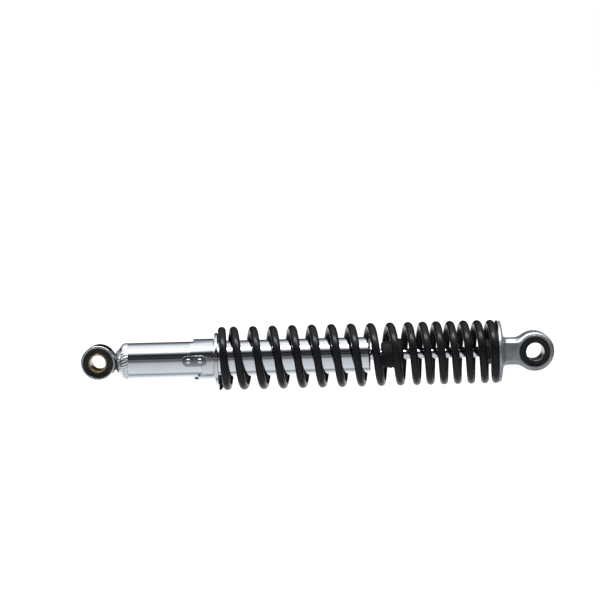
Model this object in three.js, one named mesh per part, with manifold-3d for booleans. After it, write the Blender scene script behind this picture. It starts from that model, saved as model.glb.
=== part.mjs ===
// Rear shock absorber for a motorcycle: a twin-tube oil damper inside a progressive coil spring,
// with a rubber-bushed eye at each end and a stepped cam that sets the spring's preload.
//
// The long axis is X. The lower eye is at the -X end, the upper eye at the +X end, and both eyes'
// bolts run along Y. Every piece is built on stations: millimetres along X from the centre of the
// lower eye. One outer group then moves the model so that its origin is the upper eye's centre.

import * as THREE from 'three';
import { mergeVertices } from 'three/addons/utils/BufferGeometryUtils.js';
import Module from 'manifold-3d';

const wasm = await Module();
wasm.setup();

// ---- Driving dimensions, in millimetres and degrees ----

const EYE_TO_EYE = 340;
const FIT_GAP = 0.3;
const RUNNING_GAP = 0.1;

const FINE_SIDES = 36;
const ROUND_SIDES = 24;
const SMALL_SIDES = 16;
const PIN_SIDES = 8;

const UPPER_EYE = { radius: 15.3, bore: 11.9, width: 22, bevel: 1.5 };
const UPPER_SLEEVE = { bore: 7, radius: 8, width: 26 };
const LOWER_EYE = { radius: 13.25, bore: 11.65, width: 20, bevel: 0.5 };
const LOWER_SLEEVE = { bore: 6.1, radius: 7.3, width: 24 };
const BUSH_OVERHANG = 0.4;

const FLANGE = { start: 311, rim: 2.8, crown: 2.4, radius: 24.1 };
const STEM = { halfHeight: 10.3, halfDepth: 9.6, bevel: 3, reach: 18 };

const SPRING = { outer: 24.9, wire: 6.3, sections: 6, stepsPerTurn: 14 };
const COILS = {
  closed: 6.35, wide: 15.3, tight: 10.6, first: -0.5, last: 17.1,
  opening: [0.05, 1.32], narrowing: [8.8, 11], closing: [15.6, 16.4],
};
const SEAT_RING = { start: 90.8, end: 93.5, radius: 20.25 };

const TUBE = { start: 15.6, end: 212, radius: 14, wall: 1.5, shoulder: 4.7, lip: 3, mouth: 10 };
// The tube's closed end, as places along it from its face and their radii, and its inner floor.
const CAP = {
  outline: [[0, 9], [1.4, 10.9], [2.4, 12.4], [3.4, 13.6], [5.4, 14.3], [7.4, 14.3], [8, 14]],
  floor: 3.3,
};
const NECK = { root: 9, rootAt: 11, waist: 6.1, waistAt: 13, collar: 8, collarAt: 15, length: 6 };

const CAM = { start: 71.6, end: 90.2, radius: 15.9, tracks: 2, notches: 5, step: 3, pitch: 36 };
const CAM_LUG_CLEARANCE = 2.2;
const NOTCH_OVERLAP = 0.005;
const LUG = { start: 65.7, end: 84.1, width: 7.8, radius: 16.4 };
const RIVET = { head: 1.9, dome: 0.9, shank: 1.1, inset: 4.7 };

const ROD = { radius: 4.25, thread: 4, tail: 3, start: 164, shoulder: 184, end: 324.5 };
const LOCKNUT = { acrossFlats: 17, start: 302.2, end: 310.6 };
const BUMP = { start: 220.7, end: 238, left: 9.6, right: 12.4, bevel: 1.2, bulge: 3 };

const CYLINDER = { bore: 9, radius: 10, start: 29.8, end: 199 };
const FOOT_VALVE = { start: 25, flange: 4.5, flangeRadius: 11.5, spigotEnd: 38, pinBore: 1.8 };
const FOOT_PORTS = { count: 6, circle: 5.2, radius: 1.2 };
const FOOT_DISC = { thickness: 0.5, radius: 7.6 };
const FOOT_PIN = { radius: 1.5, head: 3, headDepth: 1.5, rivet: 3.2, rivetDepth: 1.5, grip: 1.1 };
const PISTON = { start: 172.6, end: 182.6, radius: 8.6 };
const PISTON_PORTS = { count: 6, circle: 5.8, radius: 1 };
const CHECK_PLATE = { thickness: 0.8, radius: 7.5 };
const REBOUND_STOP = { lift: 1, radius: 7.5, bevel: 0.8 };
const BAND = { start: 175.1, end: 180.1, depth: 0.9 };
const SHIM = { thickness: 0.4, radii: [7.4, 6.3, 5.2] };
const PISTON_NUT = { acrossFlats: 10, start: 165.8, end: 170.2 };
const GUIDE = { start: 196.5, flangeStart: 199.3, end: 204.1, radius: 12.2, bore: 5.8 };
const GUIDE_GROOVE = { start: 200.6, end: 202.8, depth: 1.2 };
const O_RING = { thickness: 0.55 };
const BUSHING = { start: 197, end: 203.8 };
const SEAL = { end: 208.3, radius: 12, lipBevel: 1.6 };
const RETAINER = { end: 210.1, radius: 11.2, bore: 5.6 };

// ---- Finishes ----

const FINISHES = {
  chrome: { color: 0xd9dce2, roughness: 0.08, metalness: 1 },
  castAluminium: { color: 0xb9bbbd, roughness: 0.42, metalness: 0.9 },
  blackSpring: { color: 0x17161a, roughness: 0.32, metalness: 0 },
  rubber: { color: 0x121212, roughness: 0.75, metalness: 0 },
  zincYellow: { color: 0xc9ad72, roughness: 0.35, metalness: 0.9 },
  darkSteel: { color: 0x4a4b4f, roughness: 0.45, metalness: 0.9 },
  steel: { color: 0x9a9da1, roughness: 0.35, metalness: 1 },
  bronze: { color: 0xb08a4a, roughness: 0.4, metalness: 1 },
  whitePolymer: { color: 0xe6e3da, roughness: 0.5, metalness: 0 },
};

// ---- Solids and meshes ----

function toSolid(geometry) {
  const bare = geometry.clone();
  bare.deleteAttribute('normal');
  bare.deleteAttribute('uv');
  const merged = mergeVertices(bare, 1e-4);
  const corners = merged.index.array;
  const triangles = [];
  for (let i = 0; i < corners.length; i += 3) {
    const [a, b, c] = corners.slice(i, i + 3);
    if (a !== b && b !== c && c !== a) triangles.push(a, b, c);
  }
  return new wasm.Manifold(new wasm.Mesh({
    numProp: 3,
    vertProperties: new Float32Array(merged.getAttribute('position').array),
    triVerts: new Uint32Array(triangles),
  }));
}

function toGeometry(solid) {
  const { vertProperties, triVerts } = solid.getMesh();
  const geometry = new THREE.BufferGeometry();
  geometry.setAttribute('position', new THREE.BufferAttribute(vertProperties, 3));
  geometry.setIndex(new THREE.BufferAttribute(triVerts, 1));
  return geometry;
}

const shock = new THREE.Group();
shock.position.x = -EYE_TO_EYE;

function addPiece(name, finish, solid) {
  const mesh = new THREE.Mesh(toGeometry(solid), new THREE.MeshStandardMaterial(FINISHES[finish]));
  mesh.name = name;
  shock.add(mesh);
}

// ---- Shape helpers ----

// A closed outline of [distance along the axis, radius] pairs, spun into a geometry along Y.
function spin(outline, sides) {
  const points = outline.map(([along, radius]) => new THREE.Vector2(radius, along));
  if (THREE.ShapeUtils.area(points) < 0) points.reverse();
  return new THREE.LatheGeometry([...points, points[0].clone()], sides);
}

function turned(outline, sides = ROUND_SIDES) {
  return toSolid(spin(outline, sides).rotateZ(-Math.PI / 2));
}

function turnedAcross(outline, station, sides = ROUND_SIDES) {
  return toSolid(spin(outline, sides).translate(station, 0, 0));
}

// A plain ring, or a disc when the bore is zero, between two stations.
function ring(start, end, bore, radius, sides = ROUND_SIDES) {
  return turned([[start, bore], [start, radius], [end, radius], [end, bore]], sides);
}

function bevelledOutline(start, end, bore, radius, bevel) {
  return [
    [start, bore],
    [start, radius - bevel],
    [start + bevel, radius],
    [end - bevel, radius],
    [end, radius - bevel],
    [end, bore],
  ];
}

// An arc of [along, radius] points about a centre, from one angle to another in degrees.
function arc(along, radius, size, from, to, steps) {
  const points = [];
  for (let i = 0; i <= steps; i += 1) {
    const angle = THREE.MathUtils.degToRad(from + ((to - from) * i) / steps);
    points.push([along + size * Math.cos(angle), radius + size * Math.sin(angle)]);
  }
  return points;
}

// A flat outline in the YZ plane, extruded along +X from a station.
function extrudedAlongX(points, start, end) {
  const outline = new THREE.Shape(points.map(([y, z]) => new THREE.Vector2(y, z)));
  const geometry = new THREE.ExtrudeGeometry(outline, { depth: end - start, bevelEnabled: false });
  geometry.rotateX(Math.PI / 2);
  geometry.rotateZ(Math.PI / 2);
  return toSolid(geometry.translate(start, 0, 0));
}

function polygon(corners, radius, turn = 0) {
  const points = [];
  for (let i = 0; i < corners; i += 1) {
    const angle = turn + (2 * Math.PI * i) / corners;
    points.push([radius * Math.cos(angle), radius * Math.sin(angle)]);
  }
  return points;
}

function cutPorts(body, { count, circle, radius }, start, end) {
  let result = body;
  for (let i = 0; i < count; i += 1) {
    const angle = (2 * Math.PI * i) / count;
    const port = ring(start - 1, end + 1, 0, radius, PIN_SIDES);
    const moved = port.translate(0, circle * Math.cos(angle), circle * Math.sin(angle));
    result = result.subtract(moved);
  }
  return result;
}

function hexNut(acrossFlats, start, end, bore) {
  const corner = acrossFlats / 2 / Math.cos(Math.PI / 6);
  const chamfer = corner - acrossFlats / 2;
  const bar = extrudedAlongX(polygon(6, corner, Math.PI / 6), start, end);
  const blank = turned(bevelledOutline(start, end, bore, corner + 0.1, chamfer), SMALL_SIDES);
  return bar.intersect(blank);
}

// ---- Upper end: casting, bush, sleeve and locknut ----

function flangeDisc() {
  const face = FLANGE.start + FLANGE.rim;
  return turned([
    [FLANGE.start, 0],
    [FLANGE.start, FLANGE.radius - 0.5],
    [FLANGE.start + 0.5, FLANGE.radius],
    [face - 0.8, FLANGE.radius],
    [face, FLANGE.radius - 0.8],
    [face + FLANGE.crown, STEM.halfHeight],
    [face + FLANGE.crown, 0],
  ], FINE_SIDES);
}

function stemBar() {
  const { halfHeight, halfDepth, bevel } = STEM;
  const outline = [
    [-halfDepth, -halfHeight + bevel],
    [-halfDepth + bevel, -halfHeight],
    [halfDepth - bevel, -halfHeight],
    [halfDepth, -halfHeight + bevel],
    [halfDepth, halfHeight - bevel],
    [halfDepth - bevel, halfHeight],
    [-halfDepth + bevel, halfHeight],
    [-halfDepth, halfHeight - bevel],
  ];
  const start = FLANGE.start + FLANGE.rim / 2;
  return extrudedAlongX(outline, start, start + STEM.reach);
}

function upperEyeCasting() {
  const half = UPPER_EYE.width / 2;
  const eye = turnedAcross(
    bevelledOutline(-half, half, 0, UPPER_EYE.radius, UPPER_EYE.bevel), EYE_TO_EYE, FINE_SIDES);
  const bore = turnedAcross(
    [[-half - 1, 0], [-half - 1, UPPER_EYE.bore], [half + 1, UPPER_EYE.bore], [half + 1, 0]],
    EYE_TO_EYE, FINE_SIDES);
  const rodHole = ring(FLANGE.start - 1, ROD.end + 0.5, 0, ROD.thread + FIT_GAP, SMALL_SIDES);
  return flangeDisc().add(stemBar()).add(eye).subtract(bore).subtract(rodHole);
}

function bushFor(eye, sleeve, station) {
  const half = eye.width / 2 + BUSH_OVERHANG;
  const outline = bevelledOutline(
    -half, half, sleeve.radius + FIT_GAP, eye.bore - FIT_GAP, BUSH_OVERHANG);
  return turnedAcross(outline, station);
}

function sleeveFor(sleeve, station) {
  const half = sleeve.width / 2;
  return turnedAcross(
    [[-half, sleeve.bore], [-half, sleeve.radius], [half, sleeve.radius], [half, sleeve.bore]],
    station);
}

function addUpperEnd() {
  addPiece('upper_eye_casting', 'castAluminium', upperEyeCasting());
  addPiece('upper_bush', 'rubber', bushFor(UPPER_EYE, UPPER_SLEEVE, EYE_TO_EYE));
  addPiece('upper_sleeve', 'zincYellow', sleeveFor(UPPER_SLEEVE, EYE_TO_EYE));
  const nutBore = ROD.radius + FIT_GAP;
  addPiece('rod_locknut', 'darkSteel',
    hexNut(LOCKNUT.acrossFlats, LOCKNUT.start, LOCKNUT.end, nutBore));
}

// ---- Lower end: body tube, eye ring, neck, bush and sleeve ----

function bodyTube() {
  const { start, end, radius, wall, shoulder, lip, mouth } = TUBE;
  const inner = radius - wall;
  const floor = start + CAP.floor;
  const outside = [
    [start, 0],
    ...CAP.outline.map(([reach, size]) => [start + reach, size]),
    ...arc(end - lip, radius - lip, lip, 90, 0, 4),
    [end, mouth],
  ];
  const inside = [
    [end - wall, mouth],
    ...arc(end - lip, radius - lip, lip - wall, 0, 90, 3),
    ...arc(floor + shoulder - wall, radius - shoulder, shoulder - wall, 90, 180, 3),
    [floor, 0],
  ];
  return turned([...outside, ...inside], FINE_SIDES);
}

function lowerEyeRing() {
  const half = LOWER_EYE.width / 2;
  return turnedAcross(
    bevelledOutline(-half, half, LOWER_EYE.bore, LOWER_EYE.radius, LOWER_EYE.bevel), 0, FINE_SIDES);
}

// The welded stub between the eye ring and the tube's closed end, hollowed to fit round the ring.
function eyeNeck() {
  const end = TUBE.start - FIT_GAP;
  const stub = turned([
    [end - 2 * NECK.length, 0],
    [end - 2 * NECK.length, NECK.root],
    [NECK.rootAt, NECK.root],
    [NECK.waistAt, NECK.waist],
    [NECK.collarAt, NECK.collar],
    [end, NECK.collar],
    [end, 0],
  ]);
  const room = LOWER_EYE.radius + FIT_GAP;
  const deep = LOWER_EYE.width;
  const outline = [[-deep, 0], [-deep, room], [deep, room], [deep, 0]];
  return stub.subtract(turnedAcross(outline, 0, FINE_SIDES));
}

function addLowerEnd() {
  addPiece('body_tube', 'chrome', bodyTube());
  addPiece('lower_eye_ring', 'chrome', lowerEyeRing());
  addPiece('eye_neck', 'darkSteel', eyeNeck());
  addPiece('lower_bush', 'rubber', bushFor(LOWER_EYE, LOWER_SLEEVE, 0));
  addPiece('lower_sleeve', 'zincYellow', sleeveFor(LOWER_SLEEVE, 0));
}

// ---- Preload adjuster: two lugs on the tube, the stepped cam and the spring's seat ring ----

// The lug's outline is a straight slot shape, drawn in the XZ plane and extruded along Y.
function lugBlank() {
  const half = LUG.width / 2;
  const outline = new THREE.Shape();
  outline.moveTo(LUG.start + half, -half);
  outline.lineTo(LUG.end - half, -half);
  outline.absarc(LUG.end - half, 0, half, -Math.PI / 2, Math.PI / 2, false);
  outline.lineTo(LUG.start + half, half);
  outline.absarc(LUG.start + half, 0, half, Math.PI / 2, (3 * Math.PI) / 2, false);
  const depth = LUG.radius + 1;
  const geometry = new THREE.ExtrudeGeometry(
    outline, { depth, bevelEnabled: false, curveSegments: 5 });
  return toSolid(geometry.rotateX(Math.PI / 2));
}

function rivetStations() {
  const middle = (LUG.start + LUG.end) / 2;
  const spacing = (LUG.end - LUG.start) / 2 - RIVET.inset;
  return [middle - spacing, middle + spacing];
}

// The front lug faces -Y. It's bent to the tube and has a hole for each rivet.
function frontLug() {
  const shell = ring(LUG.start - 1, LUG.end + 1, TUBE.radius + FIT_GAP, LUG.radius, FINE_SIDES);
  const hole = RIVET.shank + FIT_GAP;
  const depth = 2 * LUG.radius;
  const drill = [[-depth, 0], [-depth, hole], [0, hole], [0, 0]];
  let lug = lugBlank().intersect(shell);
  for (const station of rivetStations()) {
    lug = lug.subtract(turnedAcross(drill, station, PIN_SIDES));
  }
  return lug;
}

function frontRivet(station) {
  const seat = LUG.radius + FIT_GAP;
  return turnedAcross([
    [-TUBE.radius - FIT_GAP, 0],
    [-TUBE.radius - FIT_GAP, RIVET.shank],
    [-seat, RIVET.shank],
    [-seat, RIVET.head],
    [-seat - 0.6 * RIVET.dome, 0.75 * RIVET.head],
    [-seat - RIVET.dome, 0.35 * RIVET.head],
    [-seat - RIVET.dome, 0],
  ], station, PIN_SIDES);
}

// Edge of one notch of the cam, as a station. Notch 0 is the deepest and gives the softest preload.
function notchStation(notch) {
  return LUG.end + CAM_LUG_CLEARANCE - notch * CAM.step;
}

// A slice of the cam blank over one notch, from the cam's left end to the notch's edge. It's a
// little wider than the notch, so that no thin fin is left between neighbours.
function notchCutter(track, notch) {
  const centre = (track * 360) / CAM.tracks + notch * CAM.pitch;
  const reach = 2 * CAM.radius;
  const points = [[0, 0]];
  const half = 0.5 + NOTCH_OVERLAP;
  for (const turn of [-half, 0, half]) {
    const angle = THREE.MathUtils.degToRad(centre + turn * CAM.pitch);
    points.push([-reach * Math.cos(angle), -reach * Math.sin(angle)]);
  }
  return extrudedAlongX(points, CAM.start - 1, notchStation(notch));
}

function preloadCam() {
  let cam = ring(CAM.start, CAM.end, TUBE.radius + FIT_GAP, CAM.radius, FINE_SIDES);
  for (let track = 0; track < CAM.tracks; track += 1) {
    for (let notch = 0; notch < CAM.notches; notch += 1) {
      cam = cam.subtract(notchCutter(track, notch));
    }
  }
  return cam;
}

function addPreloadAdjuster() {
  addPiece('adjuster_lug_front', 'chrome', frontLug());
  addPiece('adjuster_lug_rear', 'chrome', frontLug().rotate([180, 0, 0]));
  rivetStations().forEach((station, i) => {
    addPiece(`lug_rivet_front_${i + 1}`, 'chrome', frontRivet(station));
    addPiece(`lug_rivet_rear_${i + 1}`, 'chrome', frontRivet(station).rotate([180, 0, 0]));
  });
  addPiece('preload_cam', 'chrome', preloadCam());
  addPiece('spring_seat_ring', 'chrome', turned(bevelledOutline(
    SEAT_RING.start, SEAT_RING.end, TUBE.radius + FIT_GAP, SEAT_RING.radius, 0.6), FINE_SIDES));
}

// ---- Coil spring ----

// Pitch at a turn, in millimetres per turn: closed end, wide coils, tight coils, closed end.
function pitchAt(turn) {
  const { lerp, smoothstep } = THREE.MathUtils;
  const { closed, wide, tight, opening, narrowing, closing } = COILS;
  const opened = lerp(closed, wide, smoothstep(turn, ...opening));
  const narrowed = lerp(opened, tight, smoothstep(turn, ...narrowing));
  return lerp(narrowed, closed, smoothstep(turn, ...closing));
}

// Station of the wire's centre at each small step of turn. At turn 0 the wire sits on the seat ring.
function wireStations(stepsPerTurn) {
  const count = Math.round((COILS.last - COILS.first) * stepsPerTurn);
  const firstRise = COILS.first * COILS.closed;
  const stations = [SEAT_RING.end + SPRING.wire / 2 + firstRise];
  for (let i = 0; i < count; i += 1) {
    const turn = COILS.first + (i + 0.5) / stepsPerTurn;
    stations.push(stations[i] + pitchAt(turn) / stepsPerTurn);
  }
  return stations;
}

// Centre line of the wire: a right-hand helix that starts at the top and goes towards -Y.
function wireCentreLine() {
  const radius = SPRING.outer - SPRING.wire / 2;
  const points = wireStations(SPRING.stepsPerTurn).map((station, i) => {
    const angle = 2 * Math.PI * (COILS.first + i / SPRING.stepsPerTurn);
    return new THREE.Vector3(station, -radius * Math.sin(angle), radius * Math.cos(angle));
  });
  return new THREE.CatmullRomCurve3(points);
}

// The wire's ends are ground flat where they meet the seat ring and the casting's flange.
function coilSpring() {
  const path = wireCentreLine();
  const steps = path.points.length - 1;
  path.arcLengthDivisions = 4 * steps;
  const corners = polygon(SPRING.sections, SPRING.wire / 2);
  const section = new THREE.Shape(corners.map(([x, y]) => new THREE.Vector2(x, y)));
  const wire = toSolid(new THREE.ExtrudeGeometry(section, { steps, extrudePath: path }));
  const start = SEAT_RING.end + FIT_GAP;
  const end = FLANGE.start - FIT_GAP;
  return wire.intersect(ring(start, end, 0, SPRING.outer + 1, FINE_SIDES));
}

// ---- Damper: rod and bump rubber ----

function pistonRod() {
  return turned([
    [ROD.start, 0],
    [ROD.start, ROD.tail - 0.5],
    [ROD.start + 0.5, ROD.tail],
    [ROD.shoulder, ROD.tail],
    [ROD.shoulder, ROD.radius],
    [FLANGE.start - FIT_GAP, ROD.radius],
    [FLANGE.start - FIT_GAP, ROD.thread],
    [ROD.end, ROD.thread],
    [ROD.end, 0],
  ]);
}

function bumpRubber() {
  const bore = ROD.radius + FIT_GAP;
  const { start, end, left, right, bevel, bulge } = BUMP;
  return turned([
    [start, bore],
    [start, left - bevel],
    [start + bevel, left],
    [(start + end) / 2, (left + right) / 2],
    ...arc(end - bulge, right - bulge, bulge, 90, 0, 4),
    [end, bore],
  ]);
}

function addRodAndSpring() {
  addPiece('piston_rod', 'chrome', pistonRod());
  addPiece('bump_rubber', 'rubber', bumpRubber());
  addPiece('coil_spring', 'blackSpring', coilSpring());
}

// ---- Damper: piston and its valves ----

function piston() {
  const bore = ROD.tail + FIT_GAP;
  const groove = PISTON.radius - BAND.depth;
  const blank = turned([
    [PISTON.start, bore],
    [PISTON.start, PISTON.radius],
    [BAND.start - FIT_GAP, PISTON.radius],
    [BAND.start - FIT_GAP, groove],
    [BAND.end + FIT_GAP, groove],
    [BAND.end + FIT_GAP, PISTON.radius],
    [PISTON.end, PISTON.radius],
    [PISTON.end, bore],
  ]);
  return cutPorts(blank, PISTON_PORTS, PISTON.start, PISTON.end);
}

function addPistonGroup() {
  const tailBore = ROD.tail + FIT_GAP;
  addPiece('piston', 'steel', piston());
  const bandBore = PISTON.radius - BAND.depth + FIT_GAP;
  addPiece('piston_band', 'whitePolymer',
    ring(BAND.start, BAND.end, bandBore, CYLINDER.bore - RUNNING_GAP));
  const plate = PISTON.end + FIT_GAP;
  addPiece('check_valve_plate', 'steel',
    ring(plate, plate + CHECK_PLATE.thickness, tailBore, CHECK_PLATE.radius, SMALL_SIDES));
  SHIM.radii.forEach((radius, i) => {
    const end = PISTON.start - FIT_GAP - i * (SHIM.thickness + FIT_GAP);
    addPiece(`rebound_shim_${i + 1}`, 'steel',
      ring(end - SHIM.thickness, end, tailBore, radius, SMALL_SIDES));
  });
  addPiece('piston_nut', 'darkSteel',
    hexNut(PISTON_NUT.acrossFlats, PISTON_NUT.start, PISTON_NUT.end, tailBore));
  const { lift, radius: stopRadius, bevel } = REBOUND_STOP;
  addPiece('rebound_stop', 'rubber', turned(bevelledOutline(
    ROD.shoulder + lift, GUIDE.start - FIT_GAP, ROD.radius + FIT_GAP, stopRadius, bevel), SMALL_SIDES));
}

// ---- Damper: inner cylinder, foot valve, rod guide and seals ----

function footValveBody() {
  const { start, flange, flangeRadius, spigotEnd, pinBore } = FOOT_VALVE;
  const spigot = CYLINDER.bore - FIT_GAP;
  const blank = turned([
    [start, pinBore],
    [start, flangeRadius],
    [start + flange, flangeRadius],
    [start + flange, spigot],
    [spigotEnd, spigot],
    [spigotEnd, pinBore],
  ], SMALL_SIDES);
  return cutPorts(blank, FOOT_PORTS, start, spigotEnd);
}

function footValvePin() {
  const { radius, head, headDepth, rivet, rivetDepth, grip } = FOOT_PIN;
  const seat = FOOT_VALVE.start - FIT_GAP;
  const clinch = FOOT_VALVE.spigotEnd + grip;
  return turned([
    [seat - headDepth, 0],
    [seat - headDepth, head],
    [seat, head],
    [seat, radius],
    [clinch, radius],
    [clinch, rivet],
    [clinch + rivetDepth, rivet - FIT_GAP],
    [clinch + rivetDepth, 0],
  ], SMALL_SIDES);
}

function rodGuide() {
  const { start, flangeStart, end, radius, bore } = GUIDE;
  const spigot = CYLINDER.bore - FIT_GAP;
  const groove = radius - GUIDE_GROOVE.depth;
  return turned([
    [start, bore],
    [start, spigot],
    [flangeStart, spigot],
    [flangeStart, radius],
    [GUIDE_GROOVE.start, radius],
    [GUIDE_GROOVE.start, groove],
    [GUIDE_GROOVE.end, groove],
    [GUIDE_GROOVE.end, radius],
    [end, radius],
    [end, bore],
  ]);
}

function guideORing() {
  const middle = TUBE.radius - TUBE.wall - RUNNING_GAP - O_RING.thickness;
  const station = (GUIDE_GROOVE.start + GUIDE_GROOVE.end) / 2;
  return turned(arc(station, middle, O_RING.thickness, 0, 315, 7));
}

function oilSeal() {
  const start = GUIDE.end + FIT_GAP;
  const bore = ROD.radius + RUNNING_GAP;
  return turned([
    [start, bore + SEAL.lipBevel],
    [start, SEAL.radius],
    [SEAL.end, SEAL.radius],
    [SEAL.end, bore],
    [SEAL.end - SEAL.lipBevel, bore],
  ]);
}

function addDamperBody() {
  addPiece('pressure_cylinder', 'steel',
    ring(CYLINDER.start, CYLINDER.end, CYLINDER.bore, CYLINDER.radius));
  addPiece('foot_valve_body', 'steel', footValveBody());
  const disc = FOOT_VALVE.spigotEnd + FIT_GAP;
  addPiece('foot_valve_disc', 'steel', ring(
    disc, disc + FOOT_DISC.thickness, FOOT_VALVE.pinBore, FOOT_DISC.radius, SMALL_SIDES));
  addPiece('foot_valve_pin', 'steel', footValvePin());
  addPiece('rod_guide', 'steel', rodGuide());
  addPiece('guide_bushing', 'bronze',
    ring(BUSHING.start, BUSHING.end, ROD.radius + RUNNING_GAP, GUIDE.bore - FIT_GAP));
  addPiece('guide_o_ring', 'rubber', guideORing());
  addPiece('oil_seal', 'rubber', oilSeal());
  addPiece('seal_retainer', 'steel',
    ring(SEAL.end + FIT_GAP, RETAINER.end, RETAINER.bore, RETAINER.radius));
}

addUpperEnd();
addLowerEnd();
addPreloadAdjuster();
addRodAndSpring();
addPistonGroup();
addDamperBody();

const model = new THREE.Group();
model.add(shock);

export default model;
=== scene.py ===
"""Rear shock absorber: the finished look of a chrome damper, black coil spring and cast upper eye.

Every length is in metres. The long axis is X, both eyes' bolts run along Y, and +Z is up. Places
along the shock come from the frame's own boxes, and small sizes are fields of each class.
"""

import logging
import math
from dataclasses import dataclass, field
from enum import Enum
from typing import Callable, Iterable, NamedTuple, Sequence

import bmesh
import bpy
import numpy as np
from mathutils import Matrix, Quaternion, Vector

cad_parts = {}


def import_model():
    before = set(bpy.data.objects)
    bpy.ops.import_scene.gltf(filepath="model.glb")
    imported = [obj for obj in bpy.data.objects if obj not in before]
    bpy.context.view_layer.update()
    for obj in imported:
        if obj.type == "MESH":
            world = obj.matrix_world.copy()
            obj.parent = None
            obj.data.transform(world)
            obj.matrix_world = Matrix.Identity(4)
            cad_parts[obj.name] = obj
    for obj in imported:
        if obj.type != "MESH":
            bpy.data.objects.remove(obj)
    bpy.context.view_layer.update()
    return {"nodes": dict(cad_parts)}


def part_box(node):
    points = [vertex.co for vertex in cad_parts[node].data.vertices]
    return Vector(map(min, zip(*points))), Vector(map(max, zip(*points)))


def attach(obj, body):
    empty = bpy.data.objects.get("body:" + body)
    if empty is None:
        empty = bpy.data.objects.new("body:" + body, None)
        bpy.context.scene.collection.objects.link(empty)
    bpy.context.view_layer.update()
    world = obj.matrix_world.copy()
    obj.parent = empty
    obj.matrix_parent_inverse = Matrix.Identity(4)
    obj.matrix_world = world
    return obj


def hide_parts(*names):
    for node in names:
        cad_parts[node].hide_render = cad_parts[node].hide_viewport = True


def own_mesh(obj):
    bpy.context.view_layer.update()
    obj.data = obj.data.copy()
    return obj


LOG = logging.getLogger("rear_shock")
MM = 0.001

Point = tuple[float, float]
Colour = tuple[float, float, float]


class Body(Enum):
    """Bodies of the frame that pieces ride on."""

    UPPER = "upper_body"
    LOWER = "lower_body"
    BUMP = "bump_stop"
    SEAT = "spring_seat"
    CAM = "cam"
    UPPER_SLEEVE = "upper_bolt_sleeve"
    LOWER_SLEEVE = "lower_bolt_sleeve"


class Axis(Enum):
    """Axis that a turned piece is spun about."""

    ALONG = "x"
    ACROSS = "y"


class Side(Enum):
    """Side of the tube that a lug is on, as the sign of Y."""

    FRONT = -1
    REAR = 1


# ---------------------------------------------------------------------------------------------
# Finishes
# ---------------------------------------------------------------------------------------------


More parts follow.
